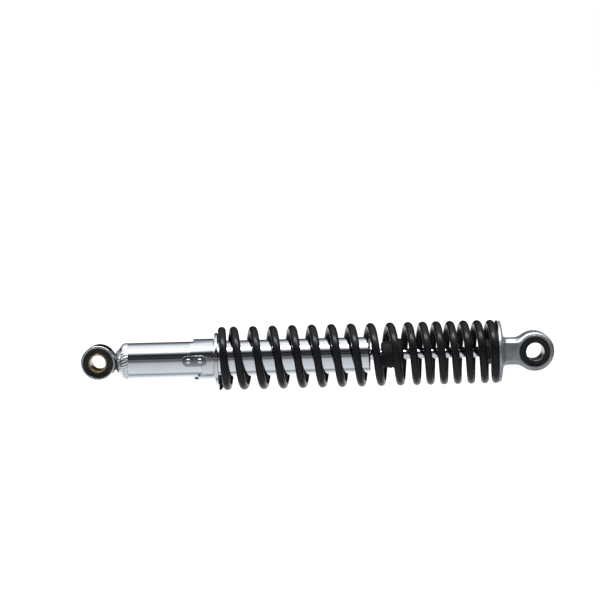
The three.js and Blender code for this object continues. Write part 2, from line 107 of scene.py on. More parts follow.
class Paint:
    """Builds one material's nodes around a Principled shader."""

    def __init__(self, name: str) -> None:
        """Starts an empty node material.

        Args:
            name: The material's name.
        """
        self.material = bpy.data.materials.new(name)
        self.material.use_nodes = True
        self.tree = self.material.node_tree
        self.shader = self.tree.nodes["Principled BSDF"]
        coordinates = self.tree.nodes.new("ShaderNodeTexCoord")
        self.place = coordinates.outputs["Object"]
        self.last_bump = None

    def stretched(self, scale: Colour) -> bpy.types.NodeSocket:
        """Gives object coordinates scaled unevenly, for brushed or streaky patterns.

        Args:
            scale: Factor on each axis.

        Returns:
            The scaled coordinates' socket.
        """
        mapping = self.tree.nodes.new("ShaderNodeMapping")
        mapping.inputs["Scale"].default_value = scale
        self.tree.links.new(self.place, mapping.inputs["Vector"])
        return mapping.outputs["Vector"]

    def noise(
        self, scale: float, detail: float = 3.0, vector: bpy.types.NodeSocket | None = None
    ) -> bpy.types.NodeSocket:
        """Adds a noise texture.

        Args:
            scale: Features per metre.
            detail: Number of octaves.
            vector: Coordinates to read, or None for plain object coordinates.

        Returns:
            The noise value's socket.
        """
        node = self.tree.nodes.new("ShaderNodeTexNoise")
        node.inputs["Scale"].default_value = scale
        node.inputs["Detail"].default_value = detail
        self.tree.links.new(vector or self.place, node.inputs["Vector"])
        return node.outputs["Fac"]

    def math(self, operation: str, *values: bpy.types.NodeSocket) -> bpy.types.NodeSocket:
        """Adds a math node.

        Args:
            operation: Blender's name of the operation.
            *values: The sockets to combine.

        Returns:
            The result's socket.
        """
        node = self.tree.nodes.new("ShaderNodeMath")
        node.operation = operation
        for index, value in enumerate(values):
            self.tree.links.new(value, node.inputs[index])
        return node.outputs[0]

    def split_place(self) -> bpy.types.NodeOutputs:
        """Gives the object coordinates' X, Y and Z sockets."""
        node = self.tree.nodes.new("ShaderNodeSeparateXYZ")
        self.tree.links.new(self.place, node.inputs[0])
        return node.outputs

    def cells(self, scale: float) -> bpy.types.NodeSocket:
        """Adds a Voronoi texture and returns its distance socket.

        Args:
            scale: Cells per metre.

        Returns:
            The distance socket.
        """
        node = self.tree.nodes.new("ShaderNodeTexVoronoi")
        node.inputs["Scale"].default_value = scale
        self.tree.links.new(self.place, node.inputs["Vector"])
        return node.outputs["Distance"]

    def spread(
        self, value: bpy.types.NodeSocket, low: float, high: float, out_low: float, out_high: float
    ) -> bpy.types.NodeSocket:
        """Maps a range of values to another range.

        Args:
            value: Socket to map.
            low: Value that gives out_low.
            high: Value that gives out_high.
            out_low: Result at low.
            out_high: Result at high.

        Returns:
            The mapped value's socket.
        """
        node = self.tree.nodes.new("ShaderNodeMapRange")
        node.inputs["From Min"].default_value = low
        node.inputs["From Max"].default_value = high
        node.inputs["To Min"].default_value = out_low
        node.inputs["To Max"].default_value = out_high
        self.tree.links.new(value, node.inputs["Value"])
        return node.outputs["Result"]

    def colours(self, value: bpy.types.NodeSocket, stops: Sequence[tuple[float, Colour]]) -> None:
        """Colours the surface by a value through a ramp.

        Args:
            value: Socket that picks the colour.
            stops: Positions and colours of the ramp.
        """
        node = self.tree.nodes.new("ShaderNodeValToRGB")
        fill_ramp(node.color_ramp, stops)
        self.tree.links.new(value, node.inputs["Fac"])
        self.tree.links.new(node.outputs["Color"], self.shader.inputs["Base Color"])

    def rough(self, value: bpy.types.NodeSocket, smooth: float, coarse: float) -> None:
        """Varies the roughness by a noise value.

        Args:
            value: Noise socket.
            smooth: Roughness where the noise is low.
            coarse: Roughness where the noise is high.
        """
        spread = self.spread(value, 0.3, 0.7, smooth, coarse)
        self.tree.links.new(spread, self.shader.inputs["Roughness"])

    def bump(self, height: bpy.types.NodeSocket, depth: float, strength: float = 1.0) -> None:
        """Adds a bump on top of any earlier one.

        Args:
            height: Height socket, from 0 to 1.
            depth: Depth in metres of a full step of height.
            strength: Share of the bump to use.
        """
        node = self.tree.nodes.new("ShaderNodeBump")
        node.inputs["Distance"].default_value = depth
        node.inputs["Strength"].default_value = strength
        self.tree.links.new(height, node.inputs["Height"])
        if self.last_bump is not None:
            self.tree.links.new(self.last_bump, node.inputs["Normal"])
        self.last_bump = node.outputs["Normal"]
        self.tree.links.new(self.last_bump, self.shader.inputs["Normal"])

    def fixed(self, **values: float) -> None:
        """Sets the shader's own sockets, named with underscores for spaces.

        Args:
            **values: Socket names and values.
        """
        for name, value in values.items():
            self.shader.inputs[name.replace("_", " ")].default_value = value


def fill_ramp(ramp: bpy.types.ColorRamp, stops: Sequence[tuple[float, Colour]]) -> None:
    """Replaces a ramp's stops.

    Args:
        ramp: The ramp to fill.
        stops: Positions from 0 to 1, in rising order, and their colours.
    """
    while len(ramp.elements) > 1:
        ramp.elements.remove(ramp.elements[-1])
    for index, (position, colour) in enumerate(stops):
        element = ramp.elements[0] if index == 0 else ramp.elements.new(position)
        element.position = position
        element.color = (*colour, 1.0)


def shade(colour: Colour, factor: float) -> Colour:
    """Makes a colour lighter or darker.

    Args:
        colour: The colour to change.
        factor: What each channel is multiplied by.

    Returns:
        The new colour, each channel at most 1.
    """
    return tuple(min(1.0, channel * factor) for channel in colour)


@dataclass(frozen=True)
class Chrome:
    """Bright plating with faint haze and fine rubbing marks."""

    name: str
    colour: Colour = (0.84, 0.86, 0.89)
    smooth: float = 0.035
    hazy: float = 0.085
    cap_end: float | None = None

    def material(self) -> bpy.types.Material:
        """Builds the material and returns it."""
        paint = Paint(self.name)
        haze = paint.noise(90.0, 5.0)
        paint.colours(haze, [(0.3, shade(self.colour, 0.95)), (0.7, self.colour)])
        paint.rough(haze, self.smooth, self.hazy)
        paint.fixed(Metallic=1.0)
        marks = paint.noise(240.0, 6.0, paint.stretched((1.0, 9.0, 9.0)))
        paint.bump(marks, 0.004 * MM, 0.35)
        paint.bump(paint.noise(38.0, 1.0), 0.03 * MM, 0.3)
        if self.cap_end is not None:
            along = paint.split_place()["X"]
            cap = paint.spread(along, self.cap_end - 0.3 * MM, self.cap_end, 1.0, 0.0)
            ridges = paint.noise(420.0, 2.0, paint.stretched((2.2, 1.0, 1.0)))
            paint.bump(paint.math("MULTIPLY", ridges, cap), 0.55 * MM, 0.9)
        return paint.material


@dataclass(frozen=True)
class CastMetal:
    """Sand-textured cast aluminium, tumbled to a satin."""

    name: str
    colour: Colour = (0.42, 0.43, 0.445)

    def material(self) -> bpy.types.Material:
        """Builds the material and returns it."""
        paint = Paint(self.name)
        mottle = paint.noise(160.0, 8.0)
        paint.colours(
            mottle,
            [(0.3, shade(self.colour, 0.78)), (0.5, self.colour), (0.72, shade(self.colour, 1.25))],
        )
        paint.rough(paint.noise(700.0, 4.0), 0.34, 0.52)
        paint.fixed(Metallic=1.0)
        paint.bump(paint.noise(1500.0, 5.0), 0.05 * MM, 0.55)
        paint.bump(paint.cells(2300.0), 0.03 * MM, 0.35)
        return paint.material


@dataclass(frozen=True)
class PowderCoat:
    """Semi-gloss black coating with a fine orange peel and a slight violet cast."""

    name: str
    colour: Colour = (0.005, 0.0046, 0.0056)

    def material(self) -> bpy.types.Material:
        """Builds the material and returns it."""
        paint = Paint(self.name)
        patch = paint.noise(60.0, 5.0)
        paint.colours(patch, [(0.3, shade(self.colour, 0.7)), (0.7, shade(self.colour, 1.6))])
        paint.rough(paint.noise(420.0, 5.0), 0.2, 0.28)
        paint.fixed(Specular_IOR_Level=0.2)
        paint.bump(paint.noise(1100.0, 2.0), 0.05 * MM, 0.5)
        paint.bump(paint.noise(4200.0, 2.0), 0.012 * MM, 0.4)
        return paint.material


@dataclass(frozen=True)
class Rubber:
    """Moulded black rubber, matt, with a little bloom."""

    name: str
    colour: Colour = (0.006, 0.006, 0.0065)

    def material(self) -> bpy.types.Material:
        """Builds the material and returns it."""
        paint = Paint(self.name)
        bloom = paint.noise(210.0, 7.0)
        paint.colours(bloom, [(0.35, self.colour), (0.75, shade(self.colour, 2.1))])
        paint.rough(bloom, 0.55, 0.8)
        paint.fixed(Specular_IOR_Level=0.2)
        paint.bump(paint.noise(2600.0, 4.0), 0.03 * MM, 0.6)
        return paint.material


@dataclass(frozen=True)
class Plated:
    """Zinc-plated or machined metal with turning lines and a drifting tint."""

    name: str
    colour: Colour
    drift: Colour
    smooth: float = 0.2
    coarse: float = 0.36
    lines: Colour = (30.0, 1.0, 1.0)

    def material(self) -> bpy.types.Material:
        """Builds the material and returns it."""
        paint = Paint(self.name)
        tint = paint.noise(130.0, 4.0)
        stops = [(0.32, self.drift), (0.6, self.colour), (0.8, shade(self.colour, 1.2))]
        paint.colours(tint, stops)
        paint.rough(paint.noise(500.0, 3.0), self.smooth, self.coarse)
        paint.fixed(Metallic=1.0)
        turning = paint.noise(160.0, 2.0, paint.stretched(self.lines))
        paint.bump(turning, 0.02 * MM, 0.4)
        return paint.material


@dataclass(frozen=True)
class BoredSteel:
    """Steel sleeve with a bright bore and painted shade on its end faces and outside, round an axis
    along Y through the origin.
    """

    name: str
    bore: float
    bright: Colour = (0.6, 0.6, 0.61)
    # Colour of the painted shade on the sleeve's end faces and outside.
    painted_end_shade: Colour = (0.06, 0.06, 0.064)

    def material(self) -> bpy.types.Material:
        """Builds the material and returns it."""
        paint = Paint(self.name)
        place = paint.split_place()
        squares = [paint.math("MULTIPLY", place[axis], place[axis]) for axis in ("X", "Z")]
        reach = paint.math("SQRT", paint.math("ADD", *squares))
        # Painted shade: the colour goes dark away from the bore, over the end faces and outside,
        # while the bore stays bright.
        end_shade_mask = paint.spread(reach, self.bore + 0.08 * MM, self.bore + 0.2 * MM, 0.0, 1.0)
        paint.colours(end_shade_mask, [(0.0, self.bright), (1.0, self.painted_end_shade)])
        paint.rough(paint.noise(500.0, 3.0), 0.24, 0.4)
        paint.fixed(Metallic=1.0)
        return paint.material


@dataclass(frozen=True)
class Polymer:
    """Filled white polymer of a piston band."""

    name: str
    colour: Colour = (0.82, 0.8, 0.75)

    def material(self) -> bpy.types.Material:
        """Builds the material and returns it."""
        paint = Paint(self.name)
        speck = paint.noise(900.0, 6.0)
        paint.colours(speck, [(0.3, shade(self.colour, 0.86)), (0.7, self.colour)])
        paint.rough(speck, 0.4, 0.55)
        paint.bump(speck, 0.01 * MM, 0.5)
        return paint.material


class Finish(Enum):
    """Every finish on the shock. A value's slot is its place in the record's materials."""

    TUBE = ("chrome_tube", Chrome("tube_chrome", cap_end=-316.6 * MM))
    RINGS = ("chrome_rings", Chrome("ring_chrome", (0.8, 0.81, 0.83), 0.05, 0.12))
    LUG = ("chrome_tube", Chrome("lug_chrome", (0.36, 0.38, 0.41), 0.16, 0.3))
    ROD = ("chrome_rod", Chrome("rod_chrome", (0.8, 0.81, 0.82), 0.05, 0.1))
    CASTING = ("cast_aluminium", CastMetal("cast_eye_metal"))
    SPRING = ("black_spring", PowderCoat("spring_coating"))
    RUBBER = ("rubber", Rubber("moulded_rubber"))
    ZINC = ("zinc_yellow", Plated("yellow_zinc", (0.58, 0.42, 0.17), (0.5, 0.4, 0.24)))
    DARK_STEEL = (
        "dark_steel",
        Plated("dark_plated_steel", (0.11, 0.11, 0.115), (0.07, 0.07, 0.075), 0.3, 0.48),
    )
    WELD = ("dark_steel", Plated("weld_metal", (0.2, 0.2, 0.205), (0.12, 0.115, 0.11), 0.3, 0.5))
    # The sleeve's end faces and outside carry painted shade.
    SLEEVE = ("dark_steel", BoredSteel("sleeve_steel_painted_shade", 7.0 * MM))
    STEEL = (
        "inner_steel",
        Plated("machined_steel", (0.5, 0.5, 0.51), (0.4, 0.4, 0.42), lines=(1.0, 40.0, 40.0)),
    )
    BRONZE = ("bronze", Plated("sintered_bronze", (0.55, 0.36, 0.16), (0.42, 0.27, 0.12)))
    POLYMER = ("white_polymer", Polymer("band_polymer"))

    @property
    def slot(self) -> str:
        """The record's material slot."""
        return self.value[0]

    def material(self) -> bpy.types.Material:
        """Builds the finish's material once, and gives the same one afterwards."""
        maker = self.value[1]
        return bpy.data.materials.get(maker.name) or maker.material()


# ---------------------------------------------------------------------------------------------
# Mesh helpers
# ---------------------------------------------------------------------------------------------


class Corner(NamedTuple):
    """A corner of a turned piece's outline: distance along the axis, radius, and rounding."""

    along: float
    radius: float
    rounding: float = 0.0


class Box(NamedTuple):
    """Where a CAD node lies: its ends along X and Y, and its largest reach from the X axis."""

    start: float
    end: float
    left: float
    right: float
    radius: float

    @property
    def middle(self) -> float:
        """Middle along X."""
        return (self.start + self.end) / 2


def box_of(node: str) -> Box:
    """Measures a CAD node.

    Args:
        node: The node's name.

    Returns:
        The node's box at rest.
    """
    low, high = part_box(node)
    return Box(low.x, high.x, low.y, high.y, high.z)


def rounded_outline(corners: Sequence[Corner], steps: int = 6) -> list[Point]:
    """Rounds the corners of a closed outline.

    Args:
        corners: The outline's corners, in order.
        steps: Segments in each rounded corner.

    Returns:
        Points of the closed outline as (along, radius) pairs.
    """
    points: list[Point] = []
    count = len(corners)
    for index, corner in enumerate(corners):
        here = Vector((corner.along, corner.radius))
        before = Vector(corners[index - 1][:2]) - here
        after = Vector(corners[(index + 1) % count][:2]) - here
        if corner.rounding <= 0:
            points.append((here.x, here.y))
            continue
        half_angle = max(before.angle(after) / 2, 1e-3)
        reach = corner.rounding / math.tan(half_angle)
        reach = min(reach, 0.49 * before.length, 0.49 * after.length)
        for step in range(steps + 1):
            share = step / steps
            point = here + before.normalized() * reach * (1 - share) ** 2
            point += after.normalized() * reach * share**2
            points.append((point.x, point.y))
    return points


def finished_mesh(
    name: str,
    vertices: Iterable[Sequence[float]],
    faces: Iterable[Sequence[int]],
    crease: float = 32.0,
) -> bpy.types.Mesh:
    """Makes a smooth-shaded closed mesh with outward faces.

    Args:
        name: The mesh's name.
        vertices: Places of the vertices.
        faces: Vertex numbers of each face.
        crease: Angle in degrees past which an edge stays sharp.

    Returns:
        The mesh.
    """
    mesh = bpy.data.meshes.new(name)
    mesh.from_pydata(list(vertices), [], list(faces))
    work = bmesh.new()
    work.from_mesh(mesh)
    bmesh.ops.remove_doubles(work, verts=work.verts, dist=1e-7)
    bmesh.ops.dissolve_degenerate(work, edges=work.edges, dist=1e-8)
    bmesh.ops.recalc_face_normals(work, faces=work.faces)
    work.to_mesh(mesh)
    work.free()
    mesh.polygons.foreach_set("use_smooth", [True] * len(mesh.polygons))
    mesh.set_sharp_from_angle(angle=math.radians(crease))
    return mesh


def turned_mesh(
    name: str,
    outline_at: Callable[[float], Sequence[Point]],
    steps: int = 160,
    axis: Axis = Axis.ALONG,
    centre: float = 0.0,
) -> bpy.types.Mesh:
    """Spins an outline that may change with the angle into a closed mesh.

    Args:
        name: The mesh's name.
        outline_at: Gives the outline at an angle in radians, always with as many points.
        steps: Number of outlines round the axis.
        axis: Axis that the piece is turned about.
        centre: Place along X of an axis that runs across.

    Returns:
        The mesh. At angle 0 a piece along X is at -Y, and a piece across is at +X.
    """
    vertices: list[tuple[float, float, float]] = []
    for step in range(steps):
        angle = 2 * math.pi * step / steps
        cosine, sine = math.cos(angle), math.sin(angle)
        for along, radius in outline_at(angle):
            if axis is Axis.ALONG:
                vertices.append((along, -radius * cosine, -radius * sine))
            else:
                vertices.append((centre + radius * cosine, along, radius * sine))
    count = len(vertices) // steps
    faces = []
    for step in range(steps):
        here, there = step * count, ((step + 1) % steps) * count
        for point in range(count):
            after = (point + 1) % count
            faces.append((here + point, here + after, there + after, there + point))
    return finished_mesh(name, vertices, faces)


def turned(
    name: str, corners: Sequence[Corner], steps: int = 160, axis: Axis = Axis.ALONG,
    centre: float = 0.0,
) -> bpy.types.Mesh:
    """Spins one rounded outline into a closed mesh.

    Args:
        name: The mesh's name.
        corners: Corners of the closed outline.
        steps: Number of segments round the axis.
        axis: Axis that the piece is turned about.
        centre: Place along X of an axis that runs across.

    Returns:
        The mesh.
    """
    outline = rounded_outline(corners)
    return turned_mesh(name, lambda angle: outline, steps, axis, centre)


def add_piece(
    mesh: bpy.types.Mesh, finish: Finish, body: Body, *nodes: str
) -> bpy.types.Object:
    """Adds a finished piece to the scene and to its body.

    Args:
        mesh: The piece's mesh, in place. Its name becomes the piece's name.
        finish: The piece's finish.
        body: The body that it rides on.
        *nodes: CAD nodes that the piece stands for.

    Returns:
        The piece's object.
    """
    piece = bpy.data.objects.new(mesh.name, mesh)
    bpy.context.scene.collection.objects.link(piece)
    mesh.materials.clear()
    mesh.materials.append(finish.material())
    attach(piece, body.value)
    if nodes:
        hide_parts(*nodes)
    LOG.info("piece %s: %d faces on %s", mesh.name, len(mesh.polygons), body.value)
    return piece


# ---------------------------------------------------------------------------------------------
# Geometry Nodes helpers
# ---------------------------------------------------------------------------------------------


class NodeTree:
    """A Geometry Nodes tree with named inputs, built and run by this script."""

    def __init__(self, name: str, inputs: dict[str, float | int]) -> None:
        """Makes the tree and its sockets.

        Args:
            name: The tree's name.
            inputs: Names and default values of the size inputs.
        """
        self.tree = bpy.data.node_groups.new(name, "GeometryNodeTree")
        interface = self.tree.interface
        interface.new_socket("Geometry", in_out="INPUT", socket_type="NodeSocketGeometry")
        self.identifiers: dict[str, str] = {}
        for label, value in inputs.items():
            kind = "NodeSocketInt" if isinstance(value, int) else "NodeSocketFloat"
            socket = interface.new_socket(label, in_out="INPUT", socket_type=kind)
            socket.default_value = value
            self.identifiers[label] = socket.identifier
        interface.new_socket("Geometry", in_out="OUTPUT", socket_type="NodeSocketGeometry")
        self.entry = self.tree.nodes.new("NodeGroupInput")
        self.exit = self.tree.nodes.new("NodeGroupOutput")

    def node(self, kind: str, **links: object) -> bpy.types.Node:
        """Adds a node and fills its inputs.

        Args:
            kind: The node's type.
            **links: Input names, with underscores for spaces, and sockets or values.

        Returns:
            The node.
        """
        node = self.tree.nodes.new(kind)
        for label, value in links.items():
            self.fill(node.inputs[label.replace("_", " ")], value)
        return node

    def fill(self, socket: bpy.types.NodeSocket, value: object) -> None:
        """Links a socket to another, or sets its value.

        Args:
            socket: The input to fill.
            value: A socket, or a plain value.
        """
        if isinstance(value, bpy.types.NodeSocket):
            self.tree.links.new(value, socket)
        else:
            socket.default_value = value

    def maths(self, operation: str, *values: object) -> bpy.types.NodeSocket:
        """Adds a Math node.

        Args:
            operation: The node's operation.
            *values: Sockets or numbers for its inputs.

        Returns:
            The result's socket.
        """
        node = self.tree.nodes.new("ShaderNodeMath")
        node.operation = operation
        for socket, value in zip(node.inputs, values):
            self.fill(socket, value)
        return node.outputs[0]

    def attribute(self, name: str) -> bpy.types.NodeSocket:
        """Reads a float attribute of the points and returns its socket.

        Args:
            name: The attribute's name.

        Returns:
            The attribute's socket.
        """
        node = self.node("GeometryNodeInputNamedAttribute")
        node.data_type = "FLOAT"
        node.inputs["Name"].default_value = name
        return next(s for s in node.outputs if s.name == "Attribute" and s.enabled)

    def finish(self, geometry: bpy.types.NodeSocket, material: bpy.types.Material) -> None:
        """Ends the tree in Realize Instances and Set Material.

        Args:
            geometry: The geometry to finish.
            material: The material for all of it.
        """
        real = self.node("GeometryNodeRealizeInstances", Geometry=geometry)
        painted = self.node("GeometryNodeSetMaterial", Geometry=real.outputs[0], Material=material)
        self.tree.links.new(painted.outputs[0], self.exit.inputs["Geometry"])

    def run(
        self, name: str, seed_mesh: bpy.types.Mesh, sizes: dict[str, float | int]
    ) -> bpy.types.Mesh:
        """Runs the tree on a mesh and turns the result into a plain mesh.

        Args:
            name: Name of the new mesh.
            seed_mesh: Points that the tree starts from.
            sizes: Values for the named inputs.

        Returns:
            The new mesh, closed and smooth-shaded.
        """
        carrier = bpy.data.objects.new(name + "_seed", seed_mesh)
        bpy.context.scene.collection.objects.link(carrier)
        modifier = carrier.modifiers.new("nodes", "NODES")
        modifier.node_group = self.tree
        for label, value in sizes.items():
            modifier[self.identifiers[label]] = value
        graph = bpy.context.evaluated_depsgraph_get()
        made = bpy.data.meshes.new_from_object(carrier.evaluated_get(graph))
        bpy.data.objects.remove(carrier)
        vertices = [tuple(v.co) for v in made.vertices]
        faces = [tuple(p.vertices) for p in made.polygons]
        return finished_mesh(name, vertices, faces, crease=50.0)


def points_mesh(
    name: str, places: Sequence[Sequence[float]], joined: bool, **values: Sequence[float]
) -> bpy.types.Mesh:
    """Makes a mesh of points, or of one open line, with float attributes.

    Args:
        name: The mesh's name.
        places: Places of the points.
        joined: Whether edges join the points in order.
        **values: Attribute names, and a value for each point.

    Returns:
        The mesh.
    """
    mesh = bpy.data.meshes.new(name)
    edges = [(i, i + 1) for i in range(len(places) - 1)] if joined else []
    mesh.from_pydata([tuple(p) for p in places], edges, [])
    for label, numbers in values.items():
        attribute = mesh.attributes.new(label, "FLOAT", "POINT")
        attribute.data.foreach_set("value", list(numbers))
    return mesh


# ---------------------------------------------------------------------------------------------
# Coil spring
# ---------------------------------------------------------------------------------------------


def smoothstep(value: float, low: float, high: float) -> float:
    """Eases from 0 at low to 1 at high.

    Args:
        value: The value to ease.
        low: Where the result leaves 0.
        high: Where the result reaches 1.

    Returns:
        The eased share.
    """
    share = min(1.0, max(0.0, (value - low) / (high - low)))
    return share * share * (3 - 2 * share)


@dataclass
class CoilSpring:
    """Progressive spring: wide coils at the lower end, tight coils at the upper end.

    It's made as two pieces that meet on one cut of the wire. The lower piece rides on the lower
    body, and the upper piece on the upper body.
    """

    wire: float = 6.3 * MM
    closed_pitch: float = 6.35 * MM
    wide_pitch: float = 15.3 * MM
    tight_pitch: float = 10.6 * MM
    opening: Point = (0.05, 1.32)
    narrowing: Point = (8.8, 11.0)
    closing: Point = (15.6, 16.4)
    first_turn: float = -0.5
    last_turn: float = 17.1
    cut_turn: float = 2.75
    steps_per_turn: int = 60
    wire_sides: int = 24
    travel: float = 70.0 * MM
    preload: float = 12.0 * MM

    def pitch(self, turn: float) -> float:
        """Pitch at a turn.

        Args:
            turn: Turn number, 0 where the wire first lies on its seat.

        Returns:
            Rise in metres for a turn.
        """
        pitch = self.closed_pitch
        pitch += (self.wide_pitch - pitch) * smoothstep(turn, *self.opening)
        pitch += (self.tight_pitch - pitch) * smoothstep(turn, *self.narrowing)
        return pitch + (self.closed_pitch - pitch) * smoothstep(turn, *self.closing)

    def line(self, seat: float) -> list[Point]:
        """Follows the wire's centre from its first turn to its last.

        Args:
            seat: Place along X of the seat that the wire lies on.

        Returns:
            (turn, place along X) pairs.
        """
        count = round((self.last_turn - self.first_turn) * self.steps_per_turn)
        place = seat + self.wire / 2 + self.first_turn * self.closed_pitch
        pairs = [(self.first_turn, place)]
        for step in range(count):
            turn = self.first_turn + (step + 0.5) / self.steps_per_turn
            place += self.pitch(turn) / self.steps_per_turn
            pairs.append((turn + 0.5 / self.steps_per_turn, place))
        return pairs

    def tree(self) -> NodeTree:
        """Builds the tree that winds a straight line of points into a coil of wire."""
        nodes = NodeTree(
            "coil_winder",
            {
                "Coil Radius": 0.02, "Wire Radius": 0.003, "Sides": 16,
                "Low Face": -1.0, "High Face": 1.0,
            },
        )
        entry = nodes.entry.outputs
        angle = nodes.maths("MULTIPLY", nodes.attribute("turn"), 2 * math.pi)
        here = nodes.node(
            "ShaderNodeSeparateXYZ", Vector=nodes.node("GeometryNodeInputPosition").outputs[0]
        )
        across = nodes.maths("MULTIPLY", nodes.maths("SINE", angle), entry["Coil Radius"])
        wound = nodes.node(
            "ShaderNodeCombineXYZ",
            X=here.outputs["X"],
            Y=nodes.maths("MULTIPLY", across, -1.0),
            Z=nodes.maths("MULTIPLY", nodes.maths("COSINE", angle), entry["Coil Radius"]),
        )
        placed = nodes.node(
            "GeometryNodeSetPosition", Geometry=entry["Geometry"], Position=wound.outputs[0]
        )
        curve = nodes.node("GeometryNodeMeshToCurve", Mesh=placed.outputs[0])
        circle = nodes.node(
            "GeometryNodeCurvePrimitiveCircle",
            Resolution=entry["Sides"], Radius=entry["Wire Radius"],
        )
        swept = nodes.node(
            "GeometryNodeCurveToMesh", Curve=curve.outputs[0], Profile_Curve=circle.outputs[0],
            Fill_Caps=True,
        )
        spot = nodes.node(
            "ShaderNodeSeparateXYZ", Vector=nodes.node("GeometryNodeInputPosition").outputs[0]
        )
        low = nodes.maths("MAXIMUM", spot.outputs["X"], entry["Low Face"])
        ground = nodes.node(
            "ShaderNodeCombineXYZ",
            X=nodes.maths("MINIMUM", low, entry["High Face"]),
            Y=spot.outputs["Y"], Z=spot.outputs["Z"],
        )
        flat = nodes.node(
            "GeometryNodeSetPosition", Geometry=swept.outputs[0], Position=ground.outputs[0]
        )
        nodes.finish(flat.outputs[0], Finish.SPRING.material())
        return nodes

    def build(self) -> None:
        """Winds both pieces and dresses them."""
        seat = box_of("spring_seat_ring").end
        flange = box_of("upper_eye_casting").start
        outer = box_of("coil_spring").radius
        pairs = self.line(seat)
        cut = min(range(len(pairs)), key=lambda i: abs(pairs[i][0] - self.cut_turn))
        tree = self.tree()
        sizes = {
            "Coil Radius": outer - self.wire / 2,
            "Wire Radius": self.wire / 2,
            "Sides": self.wire_sides,
            "Low Face": seat + 0.03 * MM,
            "High Face": flange - 0.03 * MM,
        }
        stretches = {"spring_lower_coils": pairs[: cut + 1], "spring_upper_coils": pairs[cut:]}
        meshes = {}
        for name, stretch in stretches.items():
            line = points_mesh(
                name + "_line", [(x, 0, 0) for _, x in stretch], True, turn=[t for t, _ in stretch]
            )
            meshes[name] = tree.run(name, line, sizes)
        lower = add_piece(meshes["spring_lower_coils"], Finish.SPRING, Body.LOWER, "coil_spring")
        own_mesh(lower)
        upper = add_piece(meshes["spring_upper_coils"], Finish.SPRING, Body.UPPER, "coil_spring")
        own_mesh(upper)


# ---------------------------------------------------------------------------------------------
# Upper end
# ---------------------------------------------------------------------------------------------


def smooth_min(first: np.ndarray, second: np.ndarray, blend: float) -> np.ndarray:
    """Joins two distance fields with a fillet.

    Args:
        first: Distances to one shape.
        second: Distances to the other.
        blend: Size of the fillet.

    Returns:
        Distances to the joined shape.
    """
    share = np.maximum(blend - np.abs(first - second), 0.0) / blend
    return np.minimum(first, second) - share * share * blend / 4


def smooth_max(first: np.ndarray, second: np.ndarray, blend: float) -> np.ndarray:
    """Intersects two distance fields with a rounded edge.

    Args:
        first: Distances to one shape.
        second: Distances to the other.
        blend: Size of the rounding.

    Returns:
        Distances to the shape they share.
    """
    return -smooth_min(-first, -second, blend)


